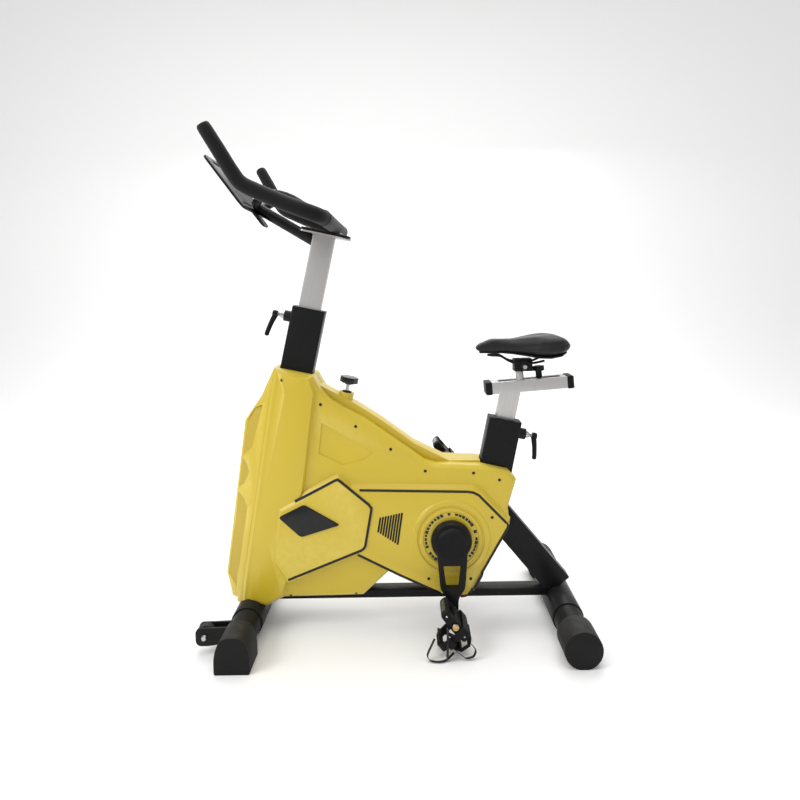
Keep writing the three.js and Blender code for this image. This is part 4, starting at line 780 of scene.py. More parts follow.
class Patterns:
    """The repeated details, each a rule in a geometry node tree."""

    @staticmethod
    def points(name: str, places: Sequence[Point], facings: Sequence[Point]) -> bpy.types.Mesh:
        """A mesh of loose points in millimetres, each with the direction that it faces."""
        mesh = bpy.data.meshes.new(name)
        mesh.from_pydata([tuple(c * MM for c in p) for p in places], [], [])
        facing = mesh.attributes.new("facing", "FLOAT_VECTOR", "POINT")
        facing.data.foreach_set("vector", [c for v in facings for c in v])
        return mesh

    @staticmethod
    def screws(finish: Finish) -> Tree:
        """Round screw heads with a socket, one at each point, turned by a fixed seed."""
        tree = Tree("screw_heads", finish)
        radius, height = tree.number("Radius"), tree.number("Height")
        seed = tree.number("Seed", "NodeSocketInt")
        facing = tree.node("GeometryNodeInputNamedAttribute", {"Name": "facing"}, data_type="FLOAT_VECTOR")
        turn = tree.node("FunctionNodeAlignRotationToVector", {"Vector": facing.outputs["Attribute"]},
                         axis="Z")
        spin = tree.node("FunctionNodeRandomValue", {"Seed": seed}, data_type="FLOAT")
        angle = tree.node("ShaderNodeMath", {"0": spin.outputs[1], "1": 6.283}, operation="MULTIPLY")
        axis = tree.node("FunctionNodeAxisAngleToRotation", {"Axis": (0, 0, 1), "Angle": angle.outputs[0]})
        both = tree.node("FunctionNodeRotateRotation",
                         {"Rotation": turn.outputs[0], "Rotate By": axis.outputs[0]},
                         rotation_space="LOCAL")
        dome = tree.node("GeometryNodeMeshCone", {"Vertices": 14, "Radius Bottom": radius, "Depth": height},
                         fill_type="NGON")
        rim = tree.node("ShaderNodeMath", {"0": radius, "1": 0.72}, operation="MULTIPLY")
        tree.group.links.new(rim.outputs[0], dome.inputs["Radius Top"])
        hole = tree.node("ShaderNodeMath", {"0": radius, "1": 0.42}, operation="MULTIPLY")
        socket = tree.node("GeometryNodeMeshCircle", {"Vertices": 6, "Radius": hole.outputs[0]},
                           fill_type="NGON")
        sink = tree.node("ShaderNodeMath", {"0": height, "1": -0.55}, operation="MULTIPLY")
        offset = tree.node("ShaderNodeCombineXYZ", {"Z": sink.outputs[0]})
        pit = tree.node("GeometryNodeExtrudeMesh", {"Mesh": socket.outputs[0], "Offset": offset.outputs[0]})
        lift = tree.node("ShaderNodeMath", {"0": height, "1": 1.02}, operation="MULTIPLY")
        rise = tree.node("ShaderNodeCombineXYZ", {"Z": lift.outputs[0]})
        mark = tree.node("GeometryNodeTransform",
                         {"Geometry": pit.outputs[0], "Translation": rise.outputs[0]})
        head = tree.node("GeometryNodeJoinGeometry", {"Geometry": dome.outputs[0]})
        tree.group.links.new(mark.outputs[0], head.inputs[0])
        places = tree.node("GeometryNodeInstanceOnPoints", {
            "Points": tree.start.outputs["Geometry"], "Instance": head.outputs[0],
            "Rotation": both.outputs[0]})
        tree.close(places.outputs[0])
        return tree

    @staticmethod
    def ring_marks(finish: Finish) -> Tree:
        """Short raised dashes round a circle in the XZ plane, their sizes varied by a fixed seed."""
        tree = Tree("ring_marks", finish)
        radius, count = tree.number("Radius"), tree.number("Count", "NodeSocketInt")
        long, tall, level = tree.number("Length"), tree.number("Height"), tree.number("Level")
        seed = tree.number("Seed", "NodeSocketInt")
        cx, cz = tree.number("Centre X"), tree.number("Centre Z")
        circle = tree.node("GeometryNodeMeshCircle", {"Vertices": count, "Radius": radius}, fill_type="NONE")
        place = tree.node("GeometryNodeInputPosition")
        out = tree.node("FunctionNodeAlignRotationToVector", {"Vector": place.outputs[0]}, axis="X")
        keep = tree.node("FunctionNodeRandomValue", {"Seed": seed, "Probability": 0.86}, data_type="BOOLEAN")
        low, high = (0.5, 0.8, 1.0), (1.0, 1.25, 1.0)
        size = tree.node("FunctionNodeRandomValue", {"Seed": seed}, data_type="FLOAT_VECTOR")
        size.inputs[0].default_value, size.inputs[1].default_value = low, high
        box = tree.node("ShaderNodeCombineXYZ", {"X": tall, "Y": long, "Z": 0.0006})
        dash = tree.node("GeometryNodeMeshCube", {"Size": box.outputs[0]})
        spread = tree.node("GeometryNodeInstanceOnPoints", {
            "Points": circle.outputs[0], "Selection": keep.outputs[3], "Instance": dash.outputs[0],
            "Rotation": out.outputs[0], "Scale": size.outputs[0]})
        offset = tree.node("ShaderNodeCombineXYZ", {"X": cx, "Y": level, "Z": cz})
        upright = tree.node("GeometryNodeTransform", {
            "Geometry": spread.outputs[0], "Translation": offset.outputs[0], "Rotation": (math.pi / 2, 0, 0)})
        tree.close(upright.outputs[0])
        return tree

    @staticmethod
    def slats(finish: Finish) -> Tree:
        """Parallel slats between two edges: the carrier's edges become bars of one width and depth."""
        tree = Tree("slats", finish)
        width, depth = tree.number("Width"), tree.number("Depth")
        line = tree.node("GeometryNodeMeshToCurve", {"Mesh": tree.start.outputs["Geometry"]})
        section = tree.node("GeometryNodeCurvePrimitiveQuadrilateral", {"Width": width, "Height": depth})
        shape = tree.node("GeometryNodeCurveToMesh", {
            "Curve": line.outputs[0], "Profile Curve": section.outputs[0], "Fill Caps": True})
        tree.close(shape.outputs[0])
        return tree

    @staticmethod
    def studs(finish: Finish) -> Tree:
        """A row of small blocks along the carrier's line, as treads, ribs or stitches."""
        tree = Tree("studs", finish)
        spacing = tree.number("Spacing")
        long, wide, tall = tree.number("Length"), tree.number("Width"), tree.number("Height")
        line = tree.node("GeometryNodeMeshToCurve", {"Mesh": tree.start.outputs["Geometry"]})
        even = tree.node("GeometryNodeResampleCurve", {"Curve": line.outputs[0], "Length": spacing},
                         mode="LENGTH")
        tangent = tree.node("GeometryNodeInputTangent")
        turn = tree.node("FunctionNodeAlignRotationToVector", {"Vector": tangent.outputs[0]}, axis="X")
        facing = tree.node("GeometryNodeInputNamedAttribute", {"Name": "facing"}, data_type="FLOAT_VECTOR")
        lift = tree.node("FunctionNodeAlignRotationToVector", {
            "Rotation": turn.outputs[0], "Vector": facing.outputs["Attribute"]}, axis="Z", pivot_axis="X")
        box = tree.node("ShaderNodeCombineXYZ", {"X": long, "Y": wide, "Z": tall})
        grain = tree.node("GeometryNodeMeshIcoSphere", {"Radius": 0.5, "Subdivisions": 2})
        rows = tree.node("GeometryNodeInstanceOnPoints", {
            "Points": even.outputs[0], "Instance": grain.outputs[0], "Rotation": lift.outputs[0],
            "Scale": box.outputs[0]})
        tree.close(rows.outputs[0])
        return tree


# ------------------------------------------------------------------ sub-assemblies


@dataclass(frozen=True)
class Leaning:
    """A frame at a point of the middle plane, leaning rearwards by some degrees, in millimetres."""

    x: float
    z: float
    degrees: float

    def at(self, along: float, y: float, up: float) -> Point:
        """The point at a distance along the frame's own X, Y and Z."""
        c, s = math.cos(math.radians(self.degrees)), math.sin(math.radians(self.degrees))
        return (self.x + along * c + up * s, y, self.z - along * s + up * c)

    def way(self, along: float, y: float, up: float) -> Point:
        """The direction of the frame's own X, Y and Z."""
        a, b = self.at(along, y, up), self.at(0, 0, 0)
        return (a[0] - b[0], y, a[2] - b[2])


HEAD = Leaning(-226, 877, 12.5)
SEAT = Leaning(317, 559, 12)
BAR = Leaning(-180.33, 1083.0, 0)
PLATE = Leaning(-180.33, 1083.0, 12.5)
SEAT_RAIL = Leaning(385.05, 658.2, -4)
KNOB = Leaning(-126, 644, 12)


class Refined:
    """CAD nodes shown as copies with rounded edges and smooth shading."""

    def __init__(self, frame: dict[str, Any]) -> None:
        """Keeps the loaded frame."""
        self.frame = frame

    def show(
        self, node: str, body: Motion, slot: str, finish: Finish, width: float = 0.8, segments: int = 2
    ) -> bpy.types.Object:
        """Makes one node's copy.

        Args:
            node: the CAD node.
            body: the body that it rides on.
            slot: the record's material slot; not used.
            finish: its finish.
            width: how wide its edges are rounded, in millimetres.
            segments: how many faces a rounded edge has.

        Returns:
            The new piece.
        """
        piece = Shapes.copy_of(self.frame, node, f"{node}_smooth")
        Shapes.bevel(piece, width, segments, 32.0)
        Shapes.smooth(piece, 38.0)
        return mount(piece, body, finish, [node])


class Skin:
    """The outside of a cover, onto which flat details are laid."""

    def __init__(self, shell: bpy.types.Object) -> None:
        """Builds the search tree of a cover."""
        self.tree = BVHTree.FromPolygons(
            [v.co.copy() for v in shell.data.vertices], [tuple(p.vertices) for p in shell.data.polygons]
        )

    def meet(self, x: float, z: float, side: Side) -> tuple[float, Point]:
        """Where a line from the rider's side meets the cover.

        Args:
            x: its X in millimetres.
            z: its Z in millimetres.
            side: the side that it comes from.

        Returns:
            The Y of the surface in millimetres, and the way it faces.
        """
        start = Vector((x * MM, side.value * 0.3, z * MM))
        place, normal, _, _ = self.tree.ray_cast(start, Vector((0, -side.value, 0)))
        if place is None:
            return side.value * 76.0, (0.0, float(side.value), 0.0)
        return place.y / MM, tuple(normal)

    def strip(
        self, name: str, line: Sequence[Flat], width: float, side: Side, proud: float = 0.6, sink: float = 3.0
    ) -> bpy.types.Object:
        """Lays a flat strip along a line of X and Z points on the cover.

        Args:
            name: the strip's name.
            line: its middle line.
            width: its width.
            side: the side that it is on.
            proud: how far it stands over the surface.
            sink: how far it goes into the surface.

        Returns:
            The strip.
        """
        dense: list[Vector] = []
        for (ax, az), (bx, bz) in zip(line, line[1:]):
            a, b = Vector((ax, az)), Vector((bx, bz))
            steps = max(int((b - a).length / 7), 1)
            dense += [a.lerp(b, k / steps) for k in range(steps)]
        dense.append(Vector(line[-1]))
        points: list[Point] = []
        for i, here in enumerate(dense):
            before = (here - dense[i - 1]).normalized() if i else None
            after = (dense[i + 1] - here).normalized() if i + 1 < len(dense) else None
            way = ((before or after) + (after or before)).normalized()
            stretch = 1 / max(way.dot(after or before), 0.5)
            across = Vector((-way.y, way.x)) * (width / 2 * stretch)
            edges = (here - across, here + across)
            level = [self.meet(p.x, p.y, side)[0] for p in (edges[0], edges[0].lerp(here, 0.5), here,
                                                            edges[1].lerp(here, 0.5), edges[1])]
            top = side.value * max(abs(y) for y in level)
            points += [(edge.x, top + side.value * proud, edge.y) for edge in edges]
            points += [(edge.x, top - side.value * sink, edge.y) for edge in reversed(edges)]
        faces: list[tuple[int, ...]] = [(3, 2, 1, 0)]
        for i in range(len(dense) - 1):
            for k in range(4):
                a, b = i * 4 + k, i * 4 + (k + 1) % 4
                faces.append((a, b, b + 4, a + 4))
        last = (len(dense) - 1) * 4
        faces.append((last, last + 1, last + 2, last + 3))
        made = Shapes.from_faces(name, points, faces)
        Shapes.smooth(made, 40.0)
        return made


@dataclass
class Housing:
    """The yellow covers with their trim, panel, vent, marks and screws."""

    refined: Refined
    trim_width: float = 6.6
    edge_round: float = 2.2
    screw_radius: float = 4.3
    flywheel_trim: tuple[Flat, ...] = (
        (-264, 361), (-156, 417), (-147.5, 420), (-139, 414), (-64, 350), (-57.5, 341), (-58, 334),
        (-75.5, 238),
        (-80, 230), (-88, 225), (-286, 147))
    crank_trim: tuple[Flat, ...] = (
        (-88.7, 389.8), (203, 381.5), (219, 379), (234, 371), (306, 296), (312, 287), (311, 277), (218, 114),
        (208, 101), (195, 95.5), (181, 94))
    lower_trim: tuple[Flat, ...] = ((-95.9, 212.9), (14, 156.5), (127, 99))
    vent_top: tuple[Flat, Flat] = ((-36.8, 313.7), (28.9, 327.2))
    vent_bottom: tuple[Flat, Flat] = ((-43.6, 276.3), (15.1, 237.1))
    vent_slats: int = 9
    side_screws: tuple[Flat, ...] = (
        (-294, 690.8), (-191.7, 621.3), (-97.4, 560.1), (-3.2, 496.2), (89.8, 435), (221.5, 427.7),
        (291.9, 407.6),
        (268.8, 310.1), (95.1, 144), (209.2, 142.4), (-104.1, 98), (-283.6, 95.1))
    panel_screws: tuple[Flat, ...] = ((-291.4, 318.6), (-158, 299))
    crank: Flat = (157, 253)
    mark_radius: float = 68.5
    mark_count: int = 42
    seam: tuple[Flat, ...] = (
        (-316.2, 719.8), (-331, 642), (-343, 571), (-377, 357), (-394, 270), (-413, 142), (-421, 72))
    nose: tuple[Flat, ...] = ((-325, 18), (-361, 16), (-410, 14), (-443, 14), (-453, 14), (-471, 16),
                              (-447, 36))
    ridge: float = 54
    recess_depth: float = 2.4
    recess_edge: float = 0.6
    recess_floor: float = 0.25
    recess_reach: float = 9.0
    panel_face: float = 81.3
    front_recesses: tuple[tuple[Point, ...], ...] = (
        ((476, 0.12, 0.13), (500, 0.12, 0.5), (571, 0.12, 0.64), (606, 0.12, 0.64), (618, 0.5, 0.64)),
        ((384, 0.1, 0.14), (398, 0.1, 0.34), (430, 0.1, 0.5), (452, 0.1, 0.34), (466, 0.1, 0.14)),
        ((112, 0.5, 0.52), (142, 0.12, 0.6), (180, 0.12, 0.66), (270, 0.12, 0.66), (334, 0.12, 0.66),
         (357, 0.12, 0.4), (370, 0.12, 0.14)))

    def build(self) -> None:
        """Makes every piece of the housing."""
        shells = {}
        for node in ("left_cover", "right_cover", "spine_cover"):
            shells[node] = self._shell(node)
        self._front_cover()
        for side in Side:
            skin = Skin(shells[f"{side.word}_cover"])
            self._trim(skin, side)
            self._vent(skin, side)
            self._marks(side)
            self._screws(skin, side)
        for node in ("left_panel", "right_panel"):
            self.refined.show(node, Motion.FRAME, "black_plastic", Finishes.GLOSS_BLACK, 0.9, 2)

    def _shell(self, node: str) -> bpy.types.Object:
        """Makes one cover with its edges rounded, and mounts it."""
        return self.refined.show(node, Motion.FRAME, "yellow_plastic", Finishes.YELLOW, self.edge_round, 3)

    def _front_point(self, share: float, z: float, side: Side) -> Vector:
        """A point of the front cover's side face, from its nose (0) to its seam (1), at a height."""
        levels = [s[1] for s in self.seam]
        i = next(k for k in range(len(levels) - 1) if levels[k + 1] <= z)
        t = (levels[i] - z) / (levels[i] - levels[i + 1])
        rear = Vector((self.seam[i][0], self.ridge)).lerp(Vector((self.seam[i + 1][0], self.ridge)), t)
        nose = Vector(self.nose[i]).lerp(Vector(self.nose[i + 1]), t)
        flat = nose.lerp(rear, share)
        return Vector((flat.x, side.value * flat.y, z))

    def _front_cover(self) -> None:
        """Makes the front cover, with shallow recesses in both of its faces, and darker yellow plates on the
        recess floors as painted shade.
        """
        cover = Shapes.copy_of(self.refined.frame, "front_cover", "front_cover_smooth")
        painted_shade_plates: list[bpy.types.Object] = []
        for side in Side:
            for rows in self.front_recesses:
                tool = self._recess_solid("recess_tool", side, rows, False)
                # A thin plate on each recess floor, in darker yellow: painted shade.
                painted_shade_plates.append(self._recess_solid("recess_floor", side, rows, True))
                cut = cover.modifiers.new("recess", "BOOLEAN")
                cut.operation = "DIFFERENCE"
                cut.solver = "EXACT"
                cut.object = tool
                Shapes.apply(cover)
                bpy.data.objects.remove(tool)
        Shapes.bevel(cover, 1.2, 2, 24.0)
        Shapes.smooth(cover, 38.0)
        mount(cover, Motion.FRAME, Finishes.YELLOW, ["front_cover"])
        # The floor plates carry the painted shade of the recesses.
        mount(Shapes.joined("front_recess_painted_shade_plates", painted_shade_plates), Motion.FRAME,
              Finishes.YELLOW_PAINTED_SHADE)

    def _recess_solid(self, name: str, side: Side, rows: Sequence[Point], fill: bool) -> bpy.types.Object:
        """Makes the tool that cuts one recess, or the recess's floor plate that carries its painted shade,
        from its levels.
        """
        rings = [self._recess_ring(side, *row, fill=fill) for row in rows]
        points = [tuple(p) for ring in rings for p in ring]
        last = len(points) - 4
        faces: list[tuple[int, ...]] = [(0, 1, 2, 3), (last + 3, last + 2, last + 1, last)]
        for row in range(0, last, 4):
            faces += [(row + k, row + 4 + k, row + 4 + (k + 1) % 4, row + (k + 1) % 4) for k in range(4)]
        return Shapes.from_faces(name, points, faces)

    def _recess_ring(self, side: Side, z: float, start: float, end: float,
                     fill: bool = False) -> list[Vector]:
        """One level of a recess tool: two points under the side face of the front cover and two over it.

        Args:
            side: The side of the bike.
            z: The level's height.
            start: Where the recess starts at this level, as a share of the way from nose to seam.
            end: Where it ends.
            fill: Makes the thin floor plate of the recess, which carries its painted shade, in place of the
                tool that cuts it.

        Returns:
            The four corners, in order round the level.
        """
        a, b = self._front_point(start, z, side), self._front_point(end, z, side)
        whole = self._front_point(1.0, z, side) - self._front_point(0.0, z, side)
        out = Vector((-whole.y, whole.x, 0.0)).normalized()
        out *= 1 if out.y * side.value > 0 else -1
        under = [self.recess_edge + (self.recess_depth - self.recess_edge) * share for share in (start, end)]
        over = [self.recess_floor - depth if fill else self.recess_reach for depth in under]
        return [a - out * under[0], b - out * under[1], b + out * over[1], a + out * over[0]]

    def _trim(self, skin: Skin, side: Side) -> None:
        """Lays the three black trim lines on one cover."""
        strips = [
            skin.strip(f"trim_{i}", line, self.trim_width, side)
            for i, line in enumerate((self.flywheel_trim, self.crank_trim, self.lower_trim))
        ]
        trim = Shapes.joined(f"trim_lines_{side.word}", strips)
        mount(trim, Motion.FRAME, Finishes.GLOSS_BLACK)

    def _vent(self, skin: Skin, side: Side) -> None:
        """Makes the vent's slanted slats on one cover."""
        tree = Patterns.slats(Finishes.BLACK_PLASTIC)
        lines: list[Point] = []
        for i in range(self.vent_slats):
            share = (i + 0.5) / self.vent_slats
            for a, b in (self.vent_top, self.vent_bottom):
                x, z = a[0] + (b[0] - a[0]) * share, a[1] + (b[1] - a[1]) * share
                lines.append((x, skin.meet(x, z, side)[0] + side.value * 0.1, z))
        carrier = bpy.data.meshes.new("vent_lines")
        edges = [(2 * i, 2 * i + 1) for i in range(self.vent_slats)]
        carrier.from_pydata([tuple(c * MM for c in p) for p in lines], edges, [])
        vent = tree.run(f"vent_slats_{side.word}", carrier, Width=0.0014, Depth=0.0047)
        mount(vent, Motion.FRAME)

    def _marks(self, side: Side) -> None:
        """Makes the ring of plain dashes round the crank."""
        tree = Patterns.ring_marks(Finishes.GLOSS_BLACK)
        level = side.value * 78.2 * MM
        marks = tree.run(
            f"crank_ring_marks_{side.word}", bpy.data.meshes.new("ring"), Radius=self.mark_radius * MM,
            Count=self.mark_count, Length=0.0078, Height=0.0086, Level=level, Seed=SEED,
            Centre_X=self.crank[0] * MM, Centre_Z=self.crank[1] * MM)
        mount(marks, Motion.FRAME)

    def _screws(self, skin: Skin, side: Side) -> None:
        """Puts the screws in one cover and its panel."""
        places, facings = [], []
        for x, z in self.side_screws:
            y, normal = skin.meet(x, z, side)
            places.append((x, y, z))
            facings.append(normal)
        for x, z in self.panel_screws:
            places.append((x, side.value * self.panel_face, z))
            facings.append((0.0, float(side.value), 0.0))
        tree = Patterns.screws(Finishes.SCREW)
        carrier = Patterns.points("cover_screws", places, facings)
        screws = tree.run(f"cover_screws_{side.word}", carrier, Radius=self.screw_radius * MM, Height=0.0014,
                          Seed=SEED)
        mount(screws, Motion.FRAME)


@dataclass
class ClampLever:
    """A clamp's threaded stud with its metal collar and the black L-handle on it."""

    name: str
    lean: Leaning
    way: int
    body: Motion
    node: str
    start: float = 66.0
    drop: float = -30.0

    def build(self) -> None:
        """Makes the lever's metal and plastic pieces."""
        s, z = self.way, self.drop
        base = self.lean.at(s * (self.start + 0.3), 0, z)
        axis = self.lean.way(s, 0, 0)
        profile = [(0, 0), (8.6, 0), (9.4, 0.9), (9.4, 7.4), (8.4, 8.6), (6.2, 9.2), (6.2, 12)]
        for i in range(9):
            profile += [(5.6, 12.3 + i * 1.5), (4.7, 13.0 + i * 1.5)]
        profile += [(4.7, 26), (0, 26)]
        stud = Shapes.lathe(f"{self.name}_clamp_stud", profile, base, axis, 24)
        mount(stud, self.body, Finishes.STEEL, [self.node])
        head = Shapes.lathe(f"{self.name}_clamp_hub",
                            [(0, 19), (7.6, 19), (9.2, 20.6), (9.6, 25), (9.2, 31), (7.2, 33.2),
                                                       (0, 33.6)], base, axis, 28)
        out = self.start
        path = Shapes.curve([
            self.lean.at(s * (out + 24), 0, z + 1), self.lean.at(s * (out + 28), 0, z - 12),
            self.lean.at(s * (out + 33), 0, z - 30), self.lean.at(s * (out + 37.5), 0, z - 52),
            self.lean.at(s * (out + 39), 0, z - 66)], 6)
        share = [i / (len(path) - 1) for i in range(len(path))]
        radii = [8.4 - 3.0 * t + 2.2 * max(t - 0.55, 0) for t in share[:-2]] + [5.2, 2.6]
        arm = Shapes.sweep(f"{self.name}_arm", path, radii, 18, 0.82)
        handle = Shapes.joined(f"{self.name}_clamp_handle", [head, arm])
        mount(handle, self.body, Finishes.BLACK_PLASTIC)


@dataclass
class Cockpit:
    """Handlebar, grip loop, plate, tray and their post."""

    refined: Refined
    bar_radius: float = 19.0
    taper: float = 2.6
    taper_share: float = 0.42
    end_drop: tuple[float, ...] = (0.42, 0.8, 0.95)
    layer_reach: tuple[float, float] = (-62.6, 74.6)
    layer_half: float = 46.4
    layer_corners: tuple[float, float] = (10, 42)
    corner_steps: int = 8
    layer_levels: tuple[float, float] = (-1.0, 2.6)
    bar_half: tuple[Point, ...] = (
        (28, 0, 25), (28, -100, 25), (27, -178, 26), (16, -216, 30), (-12, -229, 40), (-67, -232, 61),
        (-128, -235, 88), (-162, -239, 106), (-182, -243, 133), (-212, -254, 187), (-242, -265, 240))

    def _run(self, half: Sequence[Point]) -> list[Point]:
        """The whole run of a bar from its left half, in the row frame."""
        whole = list(reversed(half)) + [(x, -y, z) for x, y, z in half[1:]]
        return [BAR.at(x, y, z) for x, y, z in whole]

    def build(self) -> None:
        """Makes every piece of the handlebar."""
        run = Shapes.curve(self._run(self.bar_half), 9)
        count = len(run)
        radii = []
        for i in range(count):
            share = min(i, count - 1 - i) / (count / 2)
            tip = min(share / self.taper_share, 1.0)
            radii.append(self.bar_radius - self.taper * (1 - tip) ** 1.5)
        for k, drop in enumerate(self.end_drop):
            radii[k] *= drop
            radii[-1 - k] *= drop
        bar = Shapes.sweep("handlebar_foam_grips", self._ends(run), radii, 30)
        mount(bar, Motion.HANDLEBAR, Finishes.FOAM, ["handlebar"])
        self._grip_rings(run)

        self.refined.show("grip_loop", Motion.HANDLEBAR, "black_paint", Finishes.BLACK_PAINT, 0.4, 1)
        self.refined.show("handlebar_plate", Motion.HANDLEBAR, "black_paint", Finishes.BLACK_PAINT, 1.4, 3)
        self.refined.show("tablet_tray", Motion.HANDLEBAR, "black_plastic", Finishes.BLACK_PLASTIC, 1.2, 3)
        self.refined.show("handlebar_post", Motion.HANDLEBAR, "silver_metal", Finishes.SILVER, 0.5, 2)
        self._lower_layer()
        places = [PLATE.at(-46, y, 10.8) for y in (-24, 24)] + [PLATE.at(44, y, 10.8) for y in (-20, 20)]
        tree = Patterns.screws(Finishes.STEEL)
        carrier = Patterns.points("plate_bolts", places, [PLATE.way(0, 0, 1)] * 4)
        bolts = tree.run("handlebar_plate_bolts", carrier, Radius=0.006, Height=0.004, Seed=SEED)
        mount(bolts, Motion.HANDLEBAR)
        ClampLever("handlebar", HEAD, -1, Motion.BAR_CLAMP, "handlebar_clamp_lever").build()

    def _lower_layer(self) -> None:
        """The bare metal layer that shows as a thin line under the black plate."""
        (x0, x1), half = self.layer_reach, self.layer_half
        front, rear = self.layer_corners
        outline: list[Flat] = []
        for x, y, radius, start in ((x1, half, rear, 0), (x0, half, front, 90), (x0, -half, front, 180),
                                    (x1, -half, rear, 270)):
            centre = Vector((x - radius if x == x1 else x + radius, y - math.copysign(radius, y)))
            for k in range(self.corner_steps + 1):
                angle = math.radians(start + 90 * k / self.corner_steps)
                outline.append((centre.x + radius * math.cos(angle), centre.y + radius * math.sin(angle)))
        count = len(outline)
        points = [PLATE.at(x, y, z) for z in self.layer_levels for x, y in outline]
        faces: list[tuple[int, ...]] = [tuple(reversed(range(count))), tuple(range(count, 2 * count))]
        faces += [(i, (i + 1) % count, count + (i + 1) % count, count + i) for i in range(count)]
        layer = Shapes.from_faces("plate_lower_layer", points, faces)
        Shapes.smooth(layer, 35.0)
        mount(layer, Motion.HANDLEBAR, Finishes.SILVER)

    @staticmethod
    def _ends(run: list[Point]) -> list[Point]:
        """Draws the first and last points together, so that the tips close in a round nose."""
        line = [Vector(p) for p in run]
        for order in (range(4), range(-1, -5, -1)):
            index = list(order)
            tip, inner = line[index[0]], line[index[3]]
            for k, share in zip(index[:3], (0.0, 0.10, 0.34)):
                line[k] = tip.lerp(inner, share)
        return [tuple(p) for p in line]

    def _grip_rings(self, run: Sequence[Point]) -> None:
        """Thin rings where the grips meet the bare bar."""
        rings = []
        for place in (0.385, 0.615):
            i = int(place * (len(run) - 1))
            a, b = Vector(run[i]), Vector(run[i + 1])
            way = (b - a).normalized()
            r = self.bar_radius
            profile = [(0, -2.2), (r + 0.6, -2.2), (r + 1.3, -1.4), (r + 1.3, 1.4), (r + 0.6, 2.2), (0, 2.2)]
            rings.append(Shapes.lathe(f"ring_{i}", profile, tuple(a), tuple(way), 32))
        mount(Shapes.joined("grip_end_rings", rings), Motion.HANDLEBAR, Finishes.BLACK_PLASTIC)


